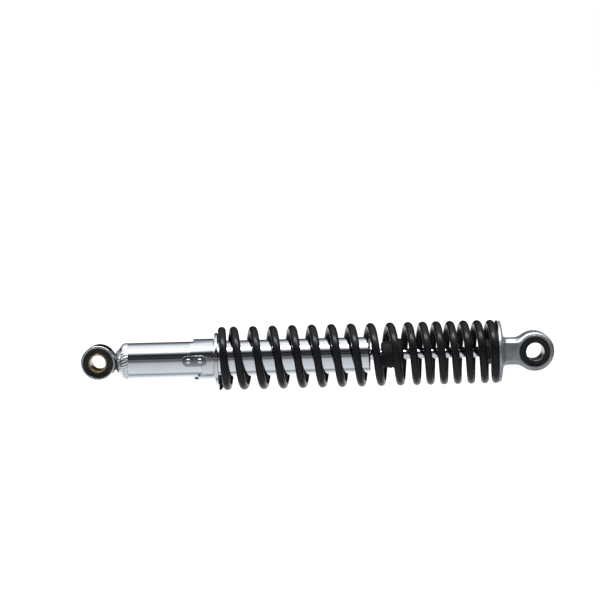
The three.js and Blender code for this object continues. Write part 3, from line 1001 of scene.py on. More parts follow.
@dataclass
class UpperEyeCasting:
    """Cast flange, chamfered stem and eye as one smooth casting, with fillets where they meet."""

    eye_radius: float = 15.3 * MM
    eye_half: float = 11.0 * MM
    eye_bevel: float = 1.9 * MM
    bore: float = 11.85 * MM
    bore_bevel: float = 0.15 * MM
    face_groove: float = 13.3 * MM
    flange_rim: float = 2.8 * MM
    flange_crown: float = 2.6 * MM
    stem_height: float = 10.3 * MM
    stem_depth: float = 9.6 * MM
    stem_bevel: float = 3.1 * MM
    fillet: float = 3.4 * MM
    edge: float = 0.7 * MM
    voxel: float = 0.42 * MM

    def eye_distance(self, x: np.ndarray, y: np.ndarray, z: np.ndarray) -> np.ndarray:
        """Distance to the solid eye, centred on the Y axis, with its faces' grooves.

        Args:
            x: Places along X.
            y: Places along Y.
            z: Places along Z.

        Returns:
            Distances, negative inside.
        """
        radius = np.hypot(x, z)
        side = radius - self.eye_radius
        face = np.abs(y) - self.eye_half
        beyond = radius + np.abs(y) - self.eye_radius - self.eye_half + self.eye_bevel
        bevel = beyond / math.sqrt(2)
        eye = smooth_max(smooth_max(side, face, self.edge), bevel, self.edge)
        groove = np.hypot(radius - self.face_groove, face) - 0.45 * MM
        return smooth_max(eye, -groove, 0.25 * MM)

    def stem_distance(
        self, x: np.ndarray, y: np.ndarray, z: np.ndarray, start: float
    ) -> np.ndarray:
        """Distance to the stem, a bar with bevelled edges that ends inside the eye.

        Args:
            x: Places along X.
            y: Places along Y.
            z: Places along Z.
            start: Where the bar starts along X.

        Returns:
            Distances, negative inside.
        """
        flat = np.abs(z) - self.stem_height
        face = np.abs(y) - self.stem_depth
        reach = self.stem_height + self.stem_depth - self.stem_bevel
        bevel = (np.abs(z) + np.abs(y) - reach) / math.sqrt(2)
        bar = smooth_max(smooth_max(flat, face, self.edge), bevel, self.edge)
        return np.maximum(bar, np.maximum(start - x, x + self.bore))

    def flange_distance(
        self, x: np.ndarray, y: np.ndarray, z: np.ndarray, start: float, radius: float
    ) -> np.ndarray:
        """Distance to the flange, a disc with a rounded rim and a low crown.

        Args:
            x: Places along X.
            y: Places along Y.
            z: Places along Z.
            start: The disc's left face.
            radius: The disc's radius.

        Returns:
            Distances, negative inside.
        """
        reach = np.hypot(y, z)
        crown = self.flange_crown * (1 - np.clip(reach / radius, 0, 1) ** 2)
        right = x - (start + self.flange_rim + crown)
        disc = smooth_max(reach - radius, right, 1.6 * MM)
        return smooth_max(disc, start - x, 1.0 * MM)

    def distance(self, places: np.ndarray, start: float, radius: float) -> np.ndarray:
        """Distance to the whole casting.

        Args:
            places: Points as rows.
            start: The flange's left face.
            radius: The flange's radius.

        Returns:
            Distances, negative inside.
        """
        x, y, z = places.T
        body = smooth_min(
            self.flange_distance(x, y, z, start, radius),
            self.stem_distance(x, y, z, start + self.edge),
            self.fillet,
        )
        body = smooth_min(body, self.eye_distance(x, y, z), self.fillet)
        reach = np.hypot(x, z)
        mouth = self.bore + np.maximum(np.abs(y) - self.eye_half + self.bore_bevel, 0)
        return smooth_max(body, mouth - reach, 0.2 * MM)

    def rough_shape(self, start: float, radius: float) -> bpy.types.Object:
        """Joins simple closed shapes and remeshes them into one skin near the casting's surface.

        Args:
            start: The flange's left face.
            radius: The flange's radius.

        Returns:
            An object that carries the remesh modifier.
        """
        face = start + self.flange_rim
        half = self.eye_half
        disc = [Corner(start, 0), Corner(start, radius), Corner(face, radius), Corner(face, 0)]
        eye = [
            Corner(-half, self.bore), Corner(-half, self.eye_radius),
            Corner(half, self.eye_radius), Corner(half, self.bore),
        ]
        work = bmesh.new()
        for mesh in (turned("disc", disc, 96), turned("eye", eye, 96, Axis.ACROSS)):
            work.from_mesh(mesh)
            bpy.data.meshes.remove(mesh)
        stem_end = -self.bore - 0.6 * MM
        length = stem_end - start - self.edge
        scale = Matrix.Diagonal((length, 2 * self.stem_depth, 2 * self.stem_height, 1))
        middle = Matrix.Translation((stem_end - length / 2, 0, 0))
        bmesh.ops.create_cube(work, size=1.0, matrix=middle @ scale)
        mesh = bpy.data.meshes.new("casting_rough")
        work.to_mesh(mesh)
        work.free()
        carrier = bpy.data.objects.new("casting_rough", mesh)
        bpy.context.scene.collection.objects.link(carrier)
        remesh = carrier.modifiers.new("skin", "REMESH")
        remesh.mode = "VOXEL"
        remesh.voxel_size = self.voxel
        return carrier

    def settle(self, places: np.ndarray, start: float, radius: float) -> np.ndarray:
        """Moves points onto the casting's exact surface.

        Args:
            places: Points as rows, near the surface.
            start: The flange's left face.
            radius: The flange's radius.

        Returns:
            The moved points.
        """
        step = 0.02 * MM
        for _ in range(8):
            here = self.distance(places, start, radius)
            slope = np.empty_like(places)
            for axis in range(3):
                shift = np.zeros(3)
                shift[axis] = step
                ahead = self.distance(places + shift, start, radius)
                behind = self.distance(places - shift, start, radius)
                slope[:, axis] = (ahead - behind) / (2 * step)
            length = np.maximum(np.linalg.norm(slope, axis=1), 0.3)
            move = np.clip(here / length**2, -self.voxel, self.voxel)
            places = places - 0.8 * slope * move[:, None]
        return places

    def build(self) -> None:
        """Makes the casting and dresses it."""
        box = box_of("upper_eye_casting")
        start = box.start + 0.1 * MM
        carrier = self.rough_shape(start, box.radius)
        graph = bpy.context.evaluated_depsgraph_get()
        mesh = bpy.data.meshes.new_from_object(carrier.evaluated_get(graph))
        bpy.data.objects.remove(carrier)
        places = np.array([v.co for v in mesh.vertices], float)
        places = self.settle(places, start, box.radius)
        faces = [tuple(p.vertices) for p in mesh.polygons]
        bpy.data.meshes.remove(mesh)
        skin = finished_mesh("cast_upper_eye", places.tolist(), faces, crease=60.0)
        add_piece(skin, Finish.CASTING, Body.UPPER, "upper_eye_casting")


@dataclass
class BushedEye:
    """Rubber bush and steel sleeve of one eye."""

    label: str
    body: Body
    sleeve_body: Body
    sleeve_finish: Finish
    eye_half: float
    sleeve_bore: float
    sleeve_wall: float
    lip: float = 0.55 * MM
    chamfer: float = 0.25 * MM

    def bush(self, centre: float, outer: float) -> bpy.types.Mesh:
        """Turns the rubber bush, with a rounded lip and a shallow dish between its edges.

        Args:
            centre: Place of the eye along X.
            outer: The bush's outer radius.

        Returns:
            The mesh.
        """
        inner = self.sleeve_bore + self.sleeve_wall + 0.05 * MM
        half = self.eye_half
        dish = 0.5 * (inner + outer)
        corners = [
            Corner(-half - 0.1 * MM, inner, 0.3 * MM),
            Corner(-half + 0.35 * MM, dish, 1.5 * MM),
            Corner(-half - self.lip * 0.6, outer - 0.7 * MM, 0.3 * MM),
            Corner(-half + 0.4 * MM, outer, 0.2 * MM),
            Corner(half - 0.4 * MM, outer, 0.2 * MM),
            Corner(half + self.lip * 0.6, outer - 0.7 * MM, 0.3 * MM),
            Corner(half - 0.35 * MM, dish, 1.5 * MM),
            Corner(half + 0.1 * MM, inner, 0.3 * MM),
        ]
        return turned(f"{self.label}_rubber_bush", corners, 128, Axis.ACROSS, centre)

    def sleeve(self, centre: float, half: float) -> bpy.types.Mesh:
        """Turns the steel sleeve, with chamfered ends.

        Args:
            centre: Place of the eye along X.
            half: Half of the sleeve's length.

        Returns:
            The mesh.
        """
        bore = self.sleeve_bore
        outer = bore + self.sleeve_wall
        corners = [
            Corner(-half, bore, self.chamfer), Corner(-half, outer, self.chamfer),
            Corner(half, outer, self.chamfer), Corner(half, bore, self.chamfer),
        ]
        return turned(f"{self.label}_bolt_sleeve", corners, 128, Axis.ACROSS, centre)

    def build(self) -> None:
        """Makes the bush and the sleeve and dresses them."""
        bush_box = box_of(f"{self.label}_bush")
        sleeve_box = box_of(f"{self.label}_sleeve")
        outer = (bush_box.end - bush_box.start) / 2 + 0.22 * MM
        bush = self.bush(bush_box.middle, outer)
        add_piece(bush, Finish.RUBBER, self.body, f"{self.label}_bush")
        sleeve = self.sleeve(sleeve_box.middle, sleeve_box.right)
        add_piece(sleeve, self.sleeve_finish, self.sleeve_body, f"{self.label}_sleeve")


@dataclass
class RodAndNut:
    """Piston rod, its locknut and the bump rubber that slides on the rod."""

    rod_radius: float = 4.25 * MM
    nut_flats: float = 17.0 * MM
    bump_groove: float = 0.7 * MM
    upper_thread: float = 13.8 * MM

    def rod(self) -> bpy.types.Mesh:
        """Turns the rod, stepped down at its tail and at its upper thread."""
        box = box_of("piston_rod")
        shoulder = box.start + 20.0 * MM
        neck = box.end - self.upper_thread
        radius = self.rod_radius
        corners = [
            Corner(box.start, 0), Corner(box.start, 3.0 * MM, 0.4 * MM),
            Corner(shoulder, 3.0 * MM), Corner(shoulder, radius, 0.3 * MM),
            Corner(neck, radius, 0.3 * MM), Corner(neck, 4.0 * MM),
            Corner(box.end, 4.0 * MM, 0.4 * MM), Corner(box.end, 0),
        ]
        return turned("chromed_piston_rod", corners, 96)

    def nut(self) -> bpy.types.Mesh:
        """Makes the hexagon locknut with chamfered corners."""
        box = box_of("rod_locknut")
        half = self.nut_flats / 2
        face = 0.95 * half
        bore = self.rod_radius + 0.02 * MM
        slope = math.tan(math.radians(30))

        def outline(angle: float) -> list[Point]:
            """Outline of the nut at an angle."""
            turn = (angle + math.pi / 6) % (math.pi / 3) - math.pi / 6
            radius = half / math.cos(turn)
            drop = (radius - face) * slope
            corners = [
                Corner(box.start, bore + 0.4 * MM, 0.1 * MM), Corner(box.start, face, 0.1 * MM),
                Corner(box.start + drop, radius, 0.35 * MM),
                Corner(box.end - drop, radius, 0.35 * MM),
                Corner(box.end, face, 0.1 * MM), Corner(box.end, bore + 0.4 * MM, 0.1 * MM),
                Corner(box.end - 0.4 * MM, bore), Corner(box.start + 0.4 * MM, bore),
            ]
            return rounded_outline(corners, 3)

        return turned_mesh("hex_locknut", outline, 144)

    def bump(self) -> bpy.types.Mesh:
        """Turns the bump rubber: a cone with a waist groove and a bulging upper end."""
        box = box_of("bump_rubber")
        bore = self.rod_radius + 0.04 * MM
        length = box.end - box.start
        waist = box.start + 0.52 * length
        corners = [
            Corner(box.start, bore), Corner(box.start, 8.9 * MM, 1.2 * MM),
            Corner(box.start + 1.4 * MM, 9.8 * MM, 0.8 * MM),
            Corner(waist - 1.3 * MM, 10.9 * MM, 0.8 * MM),
            Corner(waist, 10.9 * MM - self.bump_groove, 0.8 * MM),
            Corner(waist + 1.3 * MM, 11.7 * MM, 0.8 * MM),
            Corner(box.end - 2.6 * MM, box.radius, 1.8 * MM),
            Corner(box.end, 10.4 * MM, 1.6 * MM), Corner(box.end, bore),
        ]
        return turned("bump_stop_rubber", corners)

    def build(self) -> None:
        """Makes the three pieces and dresses them."""
        add_piece(self.rod(), Finish.ROD, Body.UPPER, "piston_rod")
        add_piece(self.nut(), Finish.DARK_STEEL, Body.UPPER, "rod_locknut")
        add_piece(self.bump(), Finish.RUBBER, Body.BUMP, "bump_rubber")


# ---------------------------------------------------------------------------------------------
# Lower end
# ---------------------------------------------------------------------------------------------


@dataclass
class BodyTube:
    """Chrome body tube with a coned, rippled cap at its lower end and a rolled mouth."""

    wall: float = 1.5 * MM
    shoulder: float = 4.7 * MM
    floor: float = 3.3 * MM
    cap_bulge: float = 0.3 * MM
    lip: float = 2.6 * MM
    mouth: float = 10.0 * MM
    cap_face: float = 9.0 * MM
    cap_cone: tuple[Colour, ...] = ((1.4, 10.9, 0.8), (2.4, 12.4, 0.8), (3.4, 13.6, 0.6))
    cap_rim: tuple[Point, ...] = ((5.4, 0.5), (7.4, 0.2))
    seam_depth: float = 0.12 * MM
    sections: int = 480
    ripple_depth: float = 0.22 * MM
    ripple_count: int = 40
    ripple_turn: float = 2.1

    def ripple(self, row: int, angle: float) -> float:
        """Height of the cap's ripples, never above the cap's own radius.

        Args:
            row: Row of ripples, each turned a little from the one before.
            angle: Angle round the tube.

        Returns:
            The height, zero or less.
        """
        wave = math.sin(self.ripple_count * angle + self.ripple_turn * row)
        return self.ripple_depth * (wave - 1)

    def outline(self, angle: float) -> list[Point]:
        """Outline of the tube at an angle.

        Args:
            angle: Angle round the tube.

        Returns:
            The outline's points.
        """
        box = box_of("body_tube")
        start, end = box.start, box.end
        radius = box.radius - self.cap_bulge
        inner = radius - self.wall
        rim = box.radius
        rows = [(reach, size * MM, bend) for reach, size, bend in self.cap_cone]
        rows += [(reach, rim, bend) for reach, bend in self.cap_rim]
        cap = [
            Corner(start + reach * MM, size + self.ripple(row, angle), bend * MM)
            for row, (reach, size, bend) in enumerate(rows)
        ]
        corners = [
            Corner(start, 0), Corner(start, self.cap_face, 0.3 * MM), *cap,
            Corner(start + 7.6 * MM, radius - self.seam_depth, 0.05 * MM),
            Corner(start + 8.0 * MM, radius, 0.1 * MM),
            Corner(end, radius, self.lip), Corner(end, self.mouth, 0.6 * MM),
            Corner(end - self.wall, self.mouth, 0.5 * MM),
            Corner(end - self.wall, inner, self.lip - self.wall),
            Corner(start + self.floor, inner, self.shoulder - self.wall),
            Corner(start + self.floor, 0),
        ]
        return rounded_outline(corners, 4)

    def build(self) -> None:
        """Makes the tube and dresses it."""
        mesh = turned_mesh("chrome_body_tube", self.outline, self.sections)
        add_piece(mesh, Finish.TUBE, Body.LOWER, "body_tube")


@dataclass
class LowerEye:
    """Chrome eye ring, the welded neck behind it and the bead that joins neck and tube."""

    ring_wall: float = 1.6 * MM
    neck_root: float = 9.0 * MM
    neck_waist: float = 6.1 * MM
    neck_collar: float = 8.0 * MM
    root_reach: float = 11.0 * MM
    waist_reach: float = 13.0 * MM
    collar_reach: float = 15.0 * MM
    lump_depth: float = 0.22 * MM
    lump_waves: tuple[int, int] = (9, 4)
    root_gap: float = 0.2 * MM
    waist_gap: float = 1.2 * MM
    bead_radius: float = 1.15 * MM
    bead_count: int = 44

    def ring(self) -> bpy.types.Mesh:
        """Turns the eye ring, with rounded edges."""
        box = box_of("lower_eye_ring")
        outer, half = box.radius, box.right
        inner = outer - self.ring_wall
        corners = [
            Corner(-half, inner, 0.4 * MM), Corner(-half, outer, 0.6 * MM),
            Corner(half, outer, 0.6 * MM), Corner(half, inner, 0.4 * MM),
        ]
        return turned("lower_eye_chrome_ring", corners, 192, Axis.ACROSS, box.middle)

    def neck(self) -> bpy.types.Mesh:
        """Makes the neck, saddled on the ring and waisted towards the tube."""
        ring = box_of("lower_eye_ring")
        end = box_of("body_tube").start + 0.2 * MM
        saddle = ring.radius - 0.4 * MM

        def outline(angle: float) -> list[Point]:
            """Outline of the neck at an angle."""
            height = self.neck_root * math.sin(angle)
            start = ring.middle + math.sqrt(saddle**2 - height**2)
            face = ring.middle + saddle - 0.5 * MM
            root = max(start + self.root_gap, ring.middle + self.root_reach)
            waist = max(root + self.waist_gap, ring.middle + self.waist_reach)
            fine, broad = self.lump_waves
            lump = self.lump_depth * math.sin(fine * angle) * math.cos(broad * angle)
            corners = [
                Corner(face, 0), Corner(start, self.neck_root, 0.1 * MM),
                Corner(root, self.neck_root, 0.1 * MM),
                Corner(waist, self.neck_waist + lump, 0.5 * MM),
                Corner(ring.middle + self.collar_reach, self.neck_collar + lump, 0.5 * MM),
                Corner(end, self.neck_collar, 0.3 * MM), Corner(end, 0),
            ]
            return rounded_outline(corners, 5)

        return turned_mesh("lower_eye_neck", outline, 144)

    def bead(self) -> bpy.types.Mesh:
        """Lays a weld bead of overlapping ripples round the neck with Geometry Nodes."""
        nodes = NodeTree("weld_bead", {"Ripple Radius": 0.001})
        entry = nodes.entry.outputs
        ripple = nodes.node(
            "GeometryNodeMeshUVSphere", Segments=14, Rings=8, Radius=entry["Ripple Radius"]
        )
        laid = nodes.node(
            "GeometryNodeInstanceOnPoints", Points=entry["Geometry"], Instance=ripple.outputs[0]
        )
        size = nodes.node("ShaderNodeCombineXYZ", X=nodes.attribute("swell"), Y=0.8, Z=0.8)
        nodes.fill(laid.inputs["Scale"], size.outputs[0])
        nodes.finish(laid.outputs[0], Finish.WELD.material())
        place = box_of("body_tube").start - 0.1 * MM
        random = np.random.default_rng(7)
        radius = self.neck_collar
        places = []
        for index in range(self.bead_count):
            angle = 2 * math.pi * index / self.bead_count
            reach = radius + random.uniform(-0.12, 0.12) * MM
            places.append((place, reach * math.cos(angle), reach * math.sin(angle)))
        swell = random.uniform(0.9, 1.25, self.bead_count)
        dots = points_mesh("bead_points", places, False, swell=swell)
        return nodes.run("neck_weld_bead", dots, {"Ripple Radius": self.bead_radius})

    def build(self) -> None:
        """Makes the pieces and dresses them."""
        add_piece(self.ring(), Finish.RINGS, Body.LOWER, "lower_eye_ring")
        add_piece(self.neck(), Finish.WELD, Body.LOWER, "eye_neck")
        add_piece(self.bead(), Finish.WELD, Body.LOWER)


# ---------------------------------------------------------------------------------------------
# Preload adjuster
# ---------------------------------------------------------------------------------------------


@dataclass
class PreloadAdjuster:
    """Two riveted lugs on the tube, the stepped cam that bears on them, and the seat ring."""

    tube: float = 14.0 * MM
    cam_wall_inner: float = 14.1 * MM
    notch_step: float = 3.0 * MM
    notch_pitch: float = 36.0
    notches: int = 5
    notch_radius: float = 4.25 * MM
    crest: float = 0.95 * MM
    lug_height: float = 2.3 * MM
    rivet_radius: float = 1.9 * MM
    rivet_inset: float = 4.7 * MM

    def notch_level(self, notch: int) -> float:
        """Place along X of a notch's deepest point.

        Args:
            notch: Notch number, 0 for the softest preload.

        Returns:
            The place along X.
        """
        return box_of("adjuster_lug_front").end + 0.12 * MM - notch * self.notch_step

    def crest_level(self, notch: int, ahead: bool) -> float:
        """Place along X of the crest on one side of a notch.

        Args:
            notch: Notch number.
            ahead: Whether the crest is on the side of the next, higher notch.

        Returns:
            The place along X.
        """
        last = self.notches - 1
        if ahead:
            return self.notch_level(min(notch + 1, last)) - self.crest
        return self.notch_level(notch if notch > 0 else last) - self.crest

    def cam_edge(self, angle: float) -> float:
        """Place along X of the cam's scalloped edge.

        Args:
            angle: Angle from the front lug, in degrees, growing downwards on the front.

        Returns:
            The place along X.
        """
        within = (angle + self.notch_pitch / 2) % 180.0 - self.notch_pitch / 2
        notch = int(round(within / self.notch_pitch))
        offset = within - notch * self.notch_pitch
        side = math.radians(offset) * (self.tube + self.lug_height)
        depth = self.notch_radius
        if abs(side) < self.notch_radius:
            depth -= math.sqrt(self.notch_radius**2 - side**2)
            flank = self.notch_level(notch) - depth
        else:
            flank = -1.0
        return max(flank, self.crest_level(notch, offset > 0))

    def soft_edge(self, angle: float) -> float:
        """The cam's edge with its corners eased by averaging over a small angle.

        Args:
            angle: Angle from the front lug, in degrees.

        Returns:
            The place along X.
        """
        return sum(self.cam_edge(angle + 0.3 * step) for step in range(-4, 5)) / 9

    def cam(self) -> bpy.types.Mesh:
        """Makes the cam, a sleeve with a scalloped edge and a rolled upper end."""
        box = box_of("preload_cam")
        inner, outer, end = self.cam_wall_inner, box.radius, box.end

        def outline(angle: float) -> list[Point]:
            """Outline of the cam at an angle."""
            edge = self.soft_edge(math.degrees(angle))
            corners = [
                Corner(edge, inner, 0.15 * MM), Corner(edge, outer, 0.55 * MM),
                Corner(end, outer, 0.5 * MM), Corner(end, inner, 0.2 * MM),
            ]
            return rounded_outline(corners, 4)

        return turned_mesh("stepped_preload_cam", outline, 720)

    def seat_ring(self) -> bpy.types.Mesh:
        """Turns the spring's seat ring, dished slightly towards the spring."""
        box = box_of("spring_seat_ring")
        inner = self.tube + 0.12 * MM
        corners = [
            Corner(box.start, inner, 0.2 * MM), Corner(box.start, box.radius, 1.0 * MM),
            Corner(box.end, box.radius, 0.7 * MM), Corner(box.end, inner, 0.2 * MM),
        ]
        return turned("spring_seat_washer", corners, 192)

    def lug(self, side: Side) -> bpy.types.Mesh:
        """Makes one lug, a slot-shaped plate with rounded edges, bent to the tube.

        Args:
            side: Which side of the tube it's on.

        Returns:
            The mesh.
        """
        box = box_of("adjuster_lug_front")
        half = (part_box("adjuster_lug_front")[1].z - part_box("adjuster_lug_front")[0].z) / 2
        straight = (box.end - box.start) / 2 - half
        round_steps = 20
        levels = [
            (0.0, -0.1), (0.0, 0.62), (0.12, 0.82), (0.4, 0.96), (0.8, 1.0), (1.9, 1.0), (3.0, 1.0),
        ]
        vertices = []
        for inset, height in levels:
            reach = half - inset * MM
            for end in (1, -1):
                for step in range(round_steps + 1):
                    angle = math.pi * (step / round_steps - 0.5) * end
                    along = end * straight + end * reach * math.cos(angle)
                    across = end * reach * math.sin(angle) * end
                    radius = self.tube + height * self.lug_height
                    bend = across / self.tube
                    front = side.value * radius * math.cos(bend)
                    vertices.append((box.middle + along, front, radius * math.sin(bend)))
        count = 2 * (round_steps + 1)
        faces = []
        for level in range(len(levels) - 1):
            for point in range(count):
                after = (point + 1) % count
                here, there = level * count, (level + 1) * count
                faces.append((here + point, here + after, there + after, there + point))
        for level in (0, len(levels) - 1):
            faces.extend(self.cap(level * count, round_steps))
        return finished_mesh(f"cam_lug_{side.name.lower()}", vertices, faces)

    @staticmethod
    def cap(first: int, round_steps: int) -> list[tuple[int, ...]]:
        """Closes a slot-shaped ring of vertices with strips across it.

        Args:
            first: Number of the ring's first vertex.
            round_steps: Segments in each round end.

        Returns:
            The faces.
        """
        other = first + round_steps + 1
        faces = []
        for start in (first, other):
            for step in range(round_steps // 2):
                low, high = start + step, start + round_steps - step
                corners = (low, low + 1, high - 1, high)
                faces.append(corners if len(set(corners)) == 4 else (low, low + 1, high))
        faces.append((first, first + round_steps, other, other + round_steps))
        return faces

    def rivets(self) -> bpy.types.Mesh:
        """Sets a domed head on each rivet's place with Geometry Nodes."""
        nodes = NodeTree("rivet_heads", {"Head Radius": 0.002, "Dome": 0.5})
        entry = nodes.entry.outputs
        dome = nodes.node(
            "GeometryNodeMeshUVSphere", Segments=32, Rings=16, Radius=entry["Head Radius"]
        )
        laid = nodes.node(
            "GeometryNodeInstanceOnPoints", Points=entry["Geometry"], Instance=dome.outputs[0]
        )
        size = nodes.node("ShaderNodeCombineXYZ", X=1.0, Y=entry["Dome"], Z=1.0)
        nodes.fill(laid.inputs["Scale"], size.outputs[0])
        nodes.finish(laid.outputs[0], Finish.TUBE.material())
        lug = box_of("adjuster_lug_front")
        reach = (lug.end - lug.start) / 2 - self.rivet_inset
        surface = self.tube + self.lug_height
        places = [
            (lug.middle + way * reach, side.value * surface, 0.0)
            for side in Side
            for way in (-1, 1)
        ]
        dots = points_mesh("rivet_points", places, False)
        sizes = {"Head Radius": self.rivet_radius, "Dome": 0.42}
        return nodes.run("lug_rivet_heads", dots, sizes)

    def build(self) -> None:
        """Makes the adjuster's pieces and dresses them."""
        for side in Side:
            mesh = self.lug(side)
            add_piece(mesh, Finish.LUG, Body.LOWER, f"adjuster_lug_{side.name.lower()}")
        names = [f"lug_rivet_{side.name.lower()}_{i}" for side in Side for i in (1, 2)]
        add_piece(self.rivets(), Finish.TUBE, Body.LOWER, *names)
        add_piece(self.cam(), Finish.RINGS, Body.CAM, "preload_cam")
        add_piece(self.seat_ring(), Finish.RINGS, Body.SEAT, "spring_seat_ring")


# ---------------------------------------------------------------------------------------------
# Damper internals, kept as the frame makes them
# ---------------------------------------------------------------------------------------------


@dataclass
class DamperInternals:
    """Inner pieces of the damper, which keep the frame's shapes and get real finishes."""

    finishes: dict[Finish, tuple[str, ...]] = field(
        default_factory=lambda: {
            Finish.STEEL: (
                "pressure_cylinder", "foot_valve_body", "foot_valve_disc", "foot_valve_pin",
                "rod_guide", "seal_retainer", "piston", "check_valve_plate", "rebound_shim_1",
                "rebound_shim_2", "rebound_shim_3",
            ),
            Finish.BRONZE: ("guide_bushing",),
            Finish.RUBBER: ("guide_o_ring", "oil_seal", "rebound_stop"),
            Finish.POLYMER: ("piston_band",),
            Finish.DARK_STEEL: ("piston_nut",),
        }
    )

    def build(self, nodes: dict[str, bpy.types.Object]) -> None:
        """Gives each inner node its finish.

        Args:
            nodes: The frame's objects by name.
        """
        for finish, names in self.finishes.items():
            for name in names:
                for slot in nodes[name].material_slots:
                    slot.material = finish.material()
            LOG.info("finish %s on %s", finish.name, ", ".join(names))


# ---------------------------------------------------------------------------------------------
# Studio
# ---------------------------------------------------------------------------------------------


@dataclass
class Studio:
    """Floor, soft light, the surroundings that the chrome mirrors, and the camera."""

    floor_drop: float = 0.16
    lens: float = 150.0
    sensor: float = 36.0
    distance: float = 1.951
    rise: float = 4.0
    roll: float = 1.53
    aim: tuple[float, float, float] = (-0.1816, 0.0, 0.0443)
    sky_tint: Colour = (0.92, 0.96, 1.0)
    end_dimming: tuple[float, float, float, float] = (0.75, 0.95, 1.0, 0.15)

    @staticmethod
    def math(
        tree: bpy.types.NodeTree, operation: str, *inputs: bpy.types.NodeSocket
    ) -> bpy.types.Node:
        """Adds a math node to the world's tree.

        Args:
            tree: The world's node tree.
            operation: Blender's name of the operation.
            *inputs: The sockets to link, in order.

        Returns:
            The node.
        """
        node = tree.nodes.new("ShaderNodeMath")
        node.operation = operation
        for socket, source in zip(node.inputs, inputs):
            tree.links.new(source, socket)
        return node

    def dimmed_ends(
        self, tree: bpy.types.NodeTree, along: bpy.types.NodeSocket, ramp: bpy.types.Node
    ) -> bpy.types.NodeSocket:
        """Darkens the surroundings beyond both ends of the shock.

        Args:
            tree: The world's node tree.
            along: The direction's share along X.
            ramp: The ramp that holds the bands.

        Returns:
            The socket with the darkened colour.
        """
        size = self.math(tree, "ABSOLUTE", along)
        keep = tree.nodes.new("ShaderNodeMapRange")
        keep.interpolation_type = "SMOOTHSTEP"
        for name, value in zip(("From Min", "From Max", "To Min", "To Max"), self.end_dimming):
            keep.inputs[name].default_value = value
        tree.links.new(size.outputs[0], keep.inputs["Value"])
        scale = tree.nodes.new("ShaderNodeVectorMath")
        scale.operation = "SCALE"
        tree.links.new(ramp.outputs["Color"], scale.inputs[0])
        tree.links.new(keep.outputs["Result"], scale.inputs["Scale"])
        return scale.outputs["Vector"]

    def surroundings(self) -> None:
        """Wraps the scene in bands of light and dark that run along the shock.

        The bands are set by the angle round the X axis: 0 towards the camera, 90 straight up.
        Only reflections and soft light see them, and a straight look sees plain white.
        """
        levels = [
            (-180, 1.1), (-130, 1.1), (-120, 0.83), (-107, 0.58), (-97, 0.28), (-88, 0.61),
            (-79, 0.83), (-62, 0.75), (-34, 0.67), (-22, 0.6), (-15, 0.56), (-8.5, 0.38),
            (-6, 0.25), (-2, 0.125), (4.5, 0.18), (10, 0.13), (13, 0.05), (16.7, 0.0065),
            (20, 0.03), (23.3, 0.075), (30, 0.017), (36, 0.024), (42.6, 0.06), (49.5, 0.38),
            (52, 0.9), (57, 1.1), (105, 1.1), (115, 0.8), (128, 0.42), (143, 0.13),
            (168, 0.01), (180, 0.007),
        ]
        bands = [(angle, tuple(c * level for c in self.sky_tint)) for angle, level in levels]
        world = bpy.data.worlds.new("studio_surroundings")
        bpy.context.scene.world = world
        world.use_nodes = True
        tree = world.node_tree
        background = tree.nodes["Background"]
        coordinates = tree.nodes.new("ShaderNodeTexCoord")
        split = tree.nodes.new("ShaderNodeSeparateXYZ")
        tree.links.new(coordinates.outputs["Generated"], split.inputs[0])
        flip = self.math(tree, "MULTIPLY", split.outputs["Y"])
        flip.inputs[1].default_value = -1.0
        turn = self.math(tree, "ARCTAN2", split.outputs["Z"], flip.outputs[0])
        share = tree.nodes.new("ShaderNodeMapRange")
        share.inputs["From Min"].default_value = -math.pi
        share.inputs["From Max"].default_value = math.pi
        tree.links.new(turn.outputs[0], share.inputs["Value"])
        ramp = tree.nodes.new("ShaderNodeValToRGB")
        fill_ramp(ramp.color_ramp, [((angle + 180) / 360, colour) for angle, colour in bands])
        tree.links.new(share.outputs["Result"], ramp.inputs["Fac"])
        ray = tree.nodes.new("ShaderNodeLightPath")
        mix = tree.nodes.new("ShaderNodeMix")
        mix.data_type = "RGBA"
        tree.links.new(ray.outputs["Is Camera Ray"], mix.inputs["Factor"])
        sockets = [s for s in mix.inputs if s.type == "RGBA"]
        tree.links.new(self.dimmed_ends(tree, split.outputs["X"], ramp), sockets[0])
        sockets[1].default_value = (1.0, 1.0, 1.0, 1.0)
        result = next(s for s in mix.outputs if s.type == "RGBA")
        tree.links.new(result, background.inputs["Color"])

    def floor(self) -> None:
        """Lays a plain pale floor below the shock."""
        half = 4.0
        places = [(-half, -half), (half, -half), (half, half), (-half, half)]
        mesh = bpy.data.meshes.new("studio_floor")
        mesh.from_pydata([(x, y, -self.floor_drop) for x, y in places], [], [(0, 1, 2, 3)])
        paint = Paint("studio_paper")
        paint.colours(paint.noise(3.0, 2.0), [(0.3, (0.93, 0.93, 0.93)), (0.7, (0.97, 0.97, 0.97))])
        paint.fixed(Roughness=0.9)
        paint.shader.inputs["Emission Color"].default_value = (1.0, 1.0, 1.0, 1.0)
        paint.shader.inputs["Emission Strength"].default_value = 0.6
        mesh.materials.append(paint.material)
        floor = bpy.data.objects.new("studio_floor", mesh)
        bpy.context.scene.collection.objects.link(floor)
        floor.visible_glossy = False

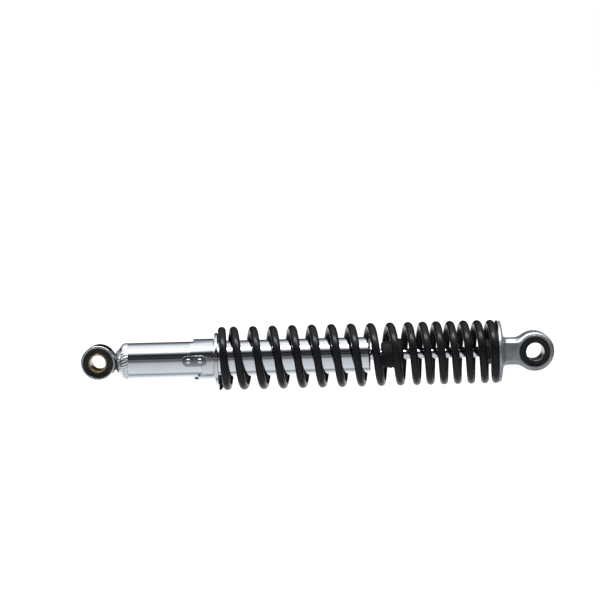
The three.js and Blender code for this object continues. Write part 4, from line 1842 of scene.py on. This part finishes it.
    def lamp(
        self, name: str, place: Colour, aim: Colour, size: tuple[float, float], power: float,
        mirrored: bool,
    ) -> None:
        """Adds one soft oblong lamp.

        Args:
            name: The lamp's name.
            place: Where it stands.
            aim: Where it points.
            size: Its width and height in metres.
            power: Its power in watts.
            mirrored: Whether bright surfaces reflect it.
        """
        light = bpy.data.lights.new(name, "AREA")
        light.shape = "RECTANGLE"
        light.size, light.size_y = size
        light.energy = power
        lamp = bpy.data.objects.new(name, light)
        lamp.location = place
        toward = Vector(aim) - Vector(place)
        lamp.rotation_euler = toward.to_track_quat("-Z", "Y").to_euler()
        lamp.visible_glossy = mirrored
        bpy.context.scene.collection.objects.link(lamp)

    def camera(self) -> None:
        """Sets the camera level with the shock, a little above it and slightly rolled."""
        rise = math.radians(self.rise)
        target = Vector(self.aim)
        back = Vector((0.0, -math.cos(rise), math.sin(rise)))
        data = bpy.data.cameras.new("studio_camera")
        data.lens = self.lens
        data.sensor_width = self.sensor
        data.clip_start = 0.01
        data.clip_end = 50.0
        camera = bpy.data.objects.new("studio_camera", data)
        facing = (-back).to_track_quat("-Z", "Y")
        tilt = Quaternion((0.0, 0.0, 1.0), math.radians(-self.roll))
        camera.rotation_mode = "QUATERNION"
        camera.rotation_quaternion = facing @ tilt
        camera.location = target + back * self.distance
        bpy.context.scene.collection.objects.link(camera)
        bpy.context.scene.camera = camera

    def build(self) -> None:
        """Sets up the whole studio."""
        bpy.context.scene.view_settings.view_transform = "Standard"
        self.surroundings()
        self.floor()
        middle = (self.aim[0], 0.0, 0.0)
        self.lamp("overhead_softbox", (-0.2, -0.308, 0.846), middle, (1.2, 0.25), 12.0, True)
        self.lamp("low_fill", (-0.2, -1.0, -0.1), middle, (0.5, 0.5), 2.0, False)
        self.camera()
        LOG.info("studio ready")


def main() -> None:
    """Builds the shock's sub-assemblies in order, then the studio."""
    logging.basicConfig(level=logging.INFO, format="%(name)s: %(message)s")
    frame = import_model()
    Studio().build()
    CoilSpring().build()
    UpperEyeCasting().build()
    BushedEye(
        label="upper", body=Body.UPPER, sleeve_body=Body.UPPER_SLEEVE, sleeve_finish=Finish.SLEEVE,
        eye_half=11.0 * MM, sleeve_bore=7.0 * MM, sleeve_wall=1.0 * MM, chamfer=0.1 * MM,
    ).build()
    RodAndNut().build()
    BodyTube().build()
    LowerEye().build()
    BushedEye(
        label="lower", body=Body.LOWER, sleeve_body=Body.LOWER_SLEEVE, sleeve_finish=Finish.ZINC,
        eye_half=10.0 * MM, sleeve_bore=6.1 * MM, sleeve_wall=1.2 * MM,
    ).build()
    PreloadAdjuster().build()
    DamperInternals().build(frame["nodes"])


if __name__ == "__main__":
    main()
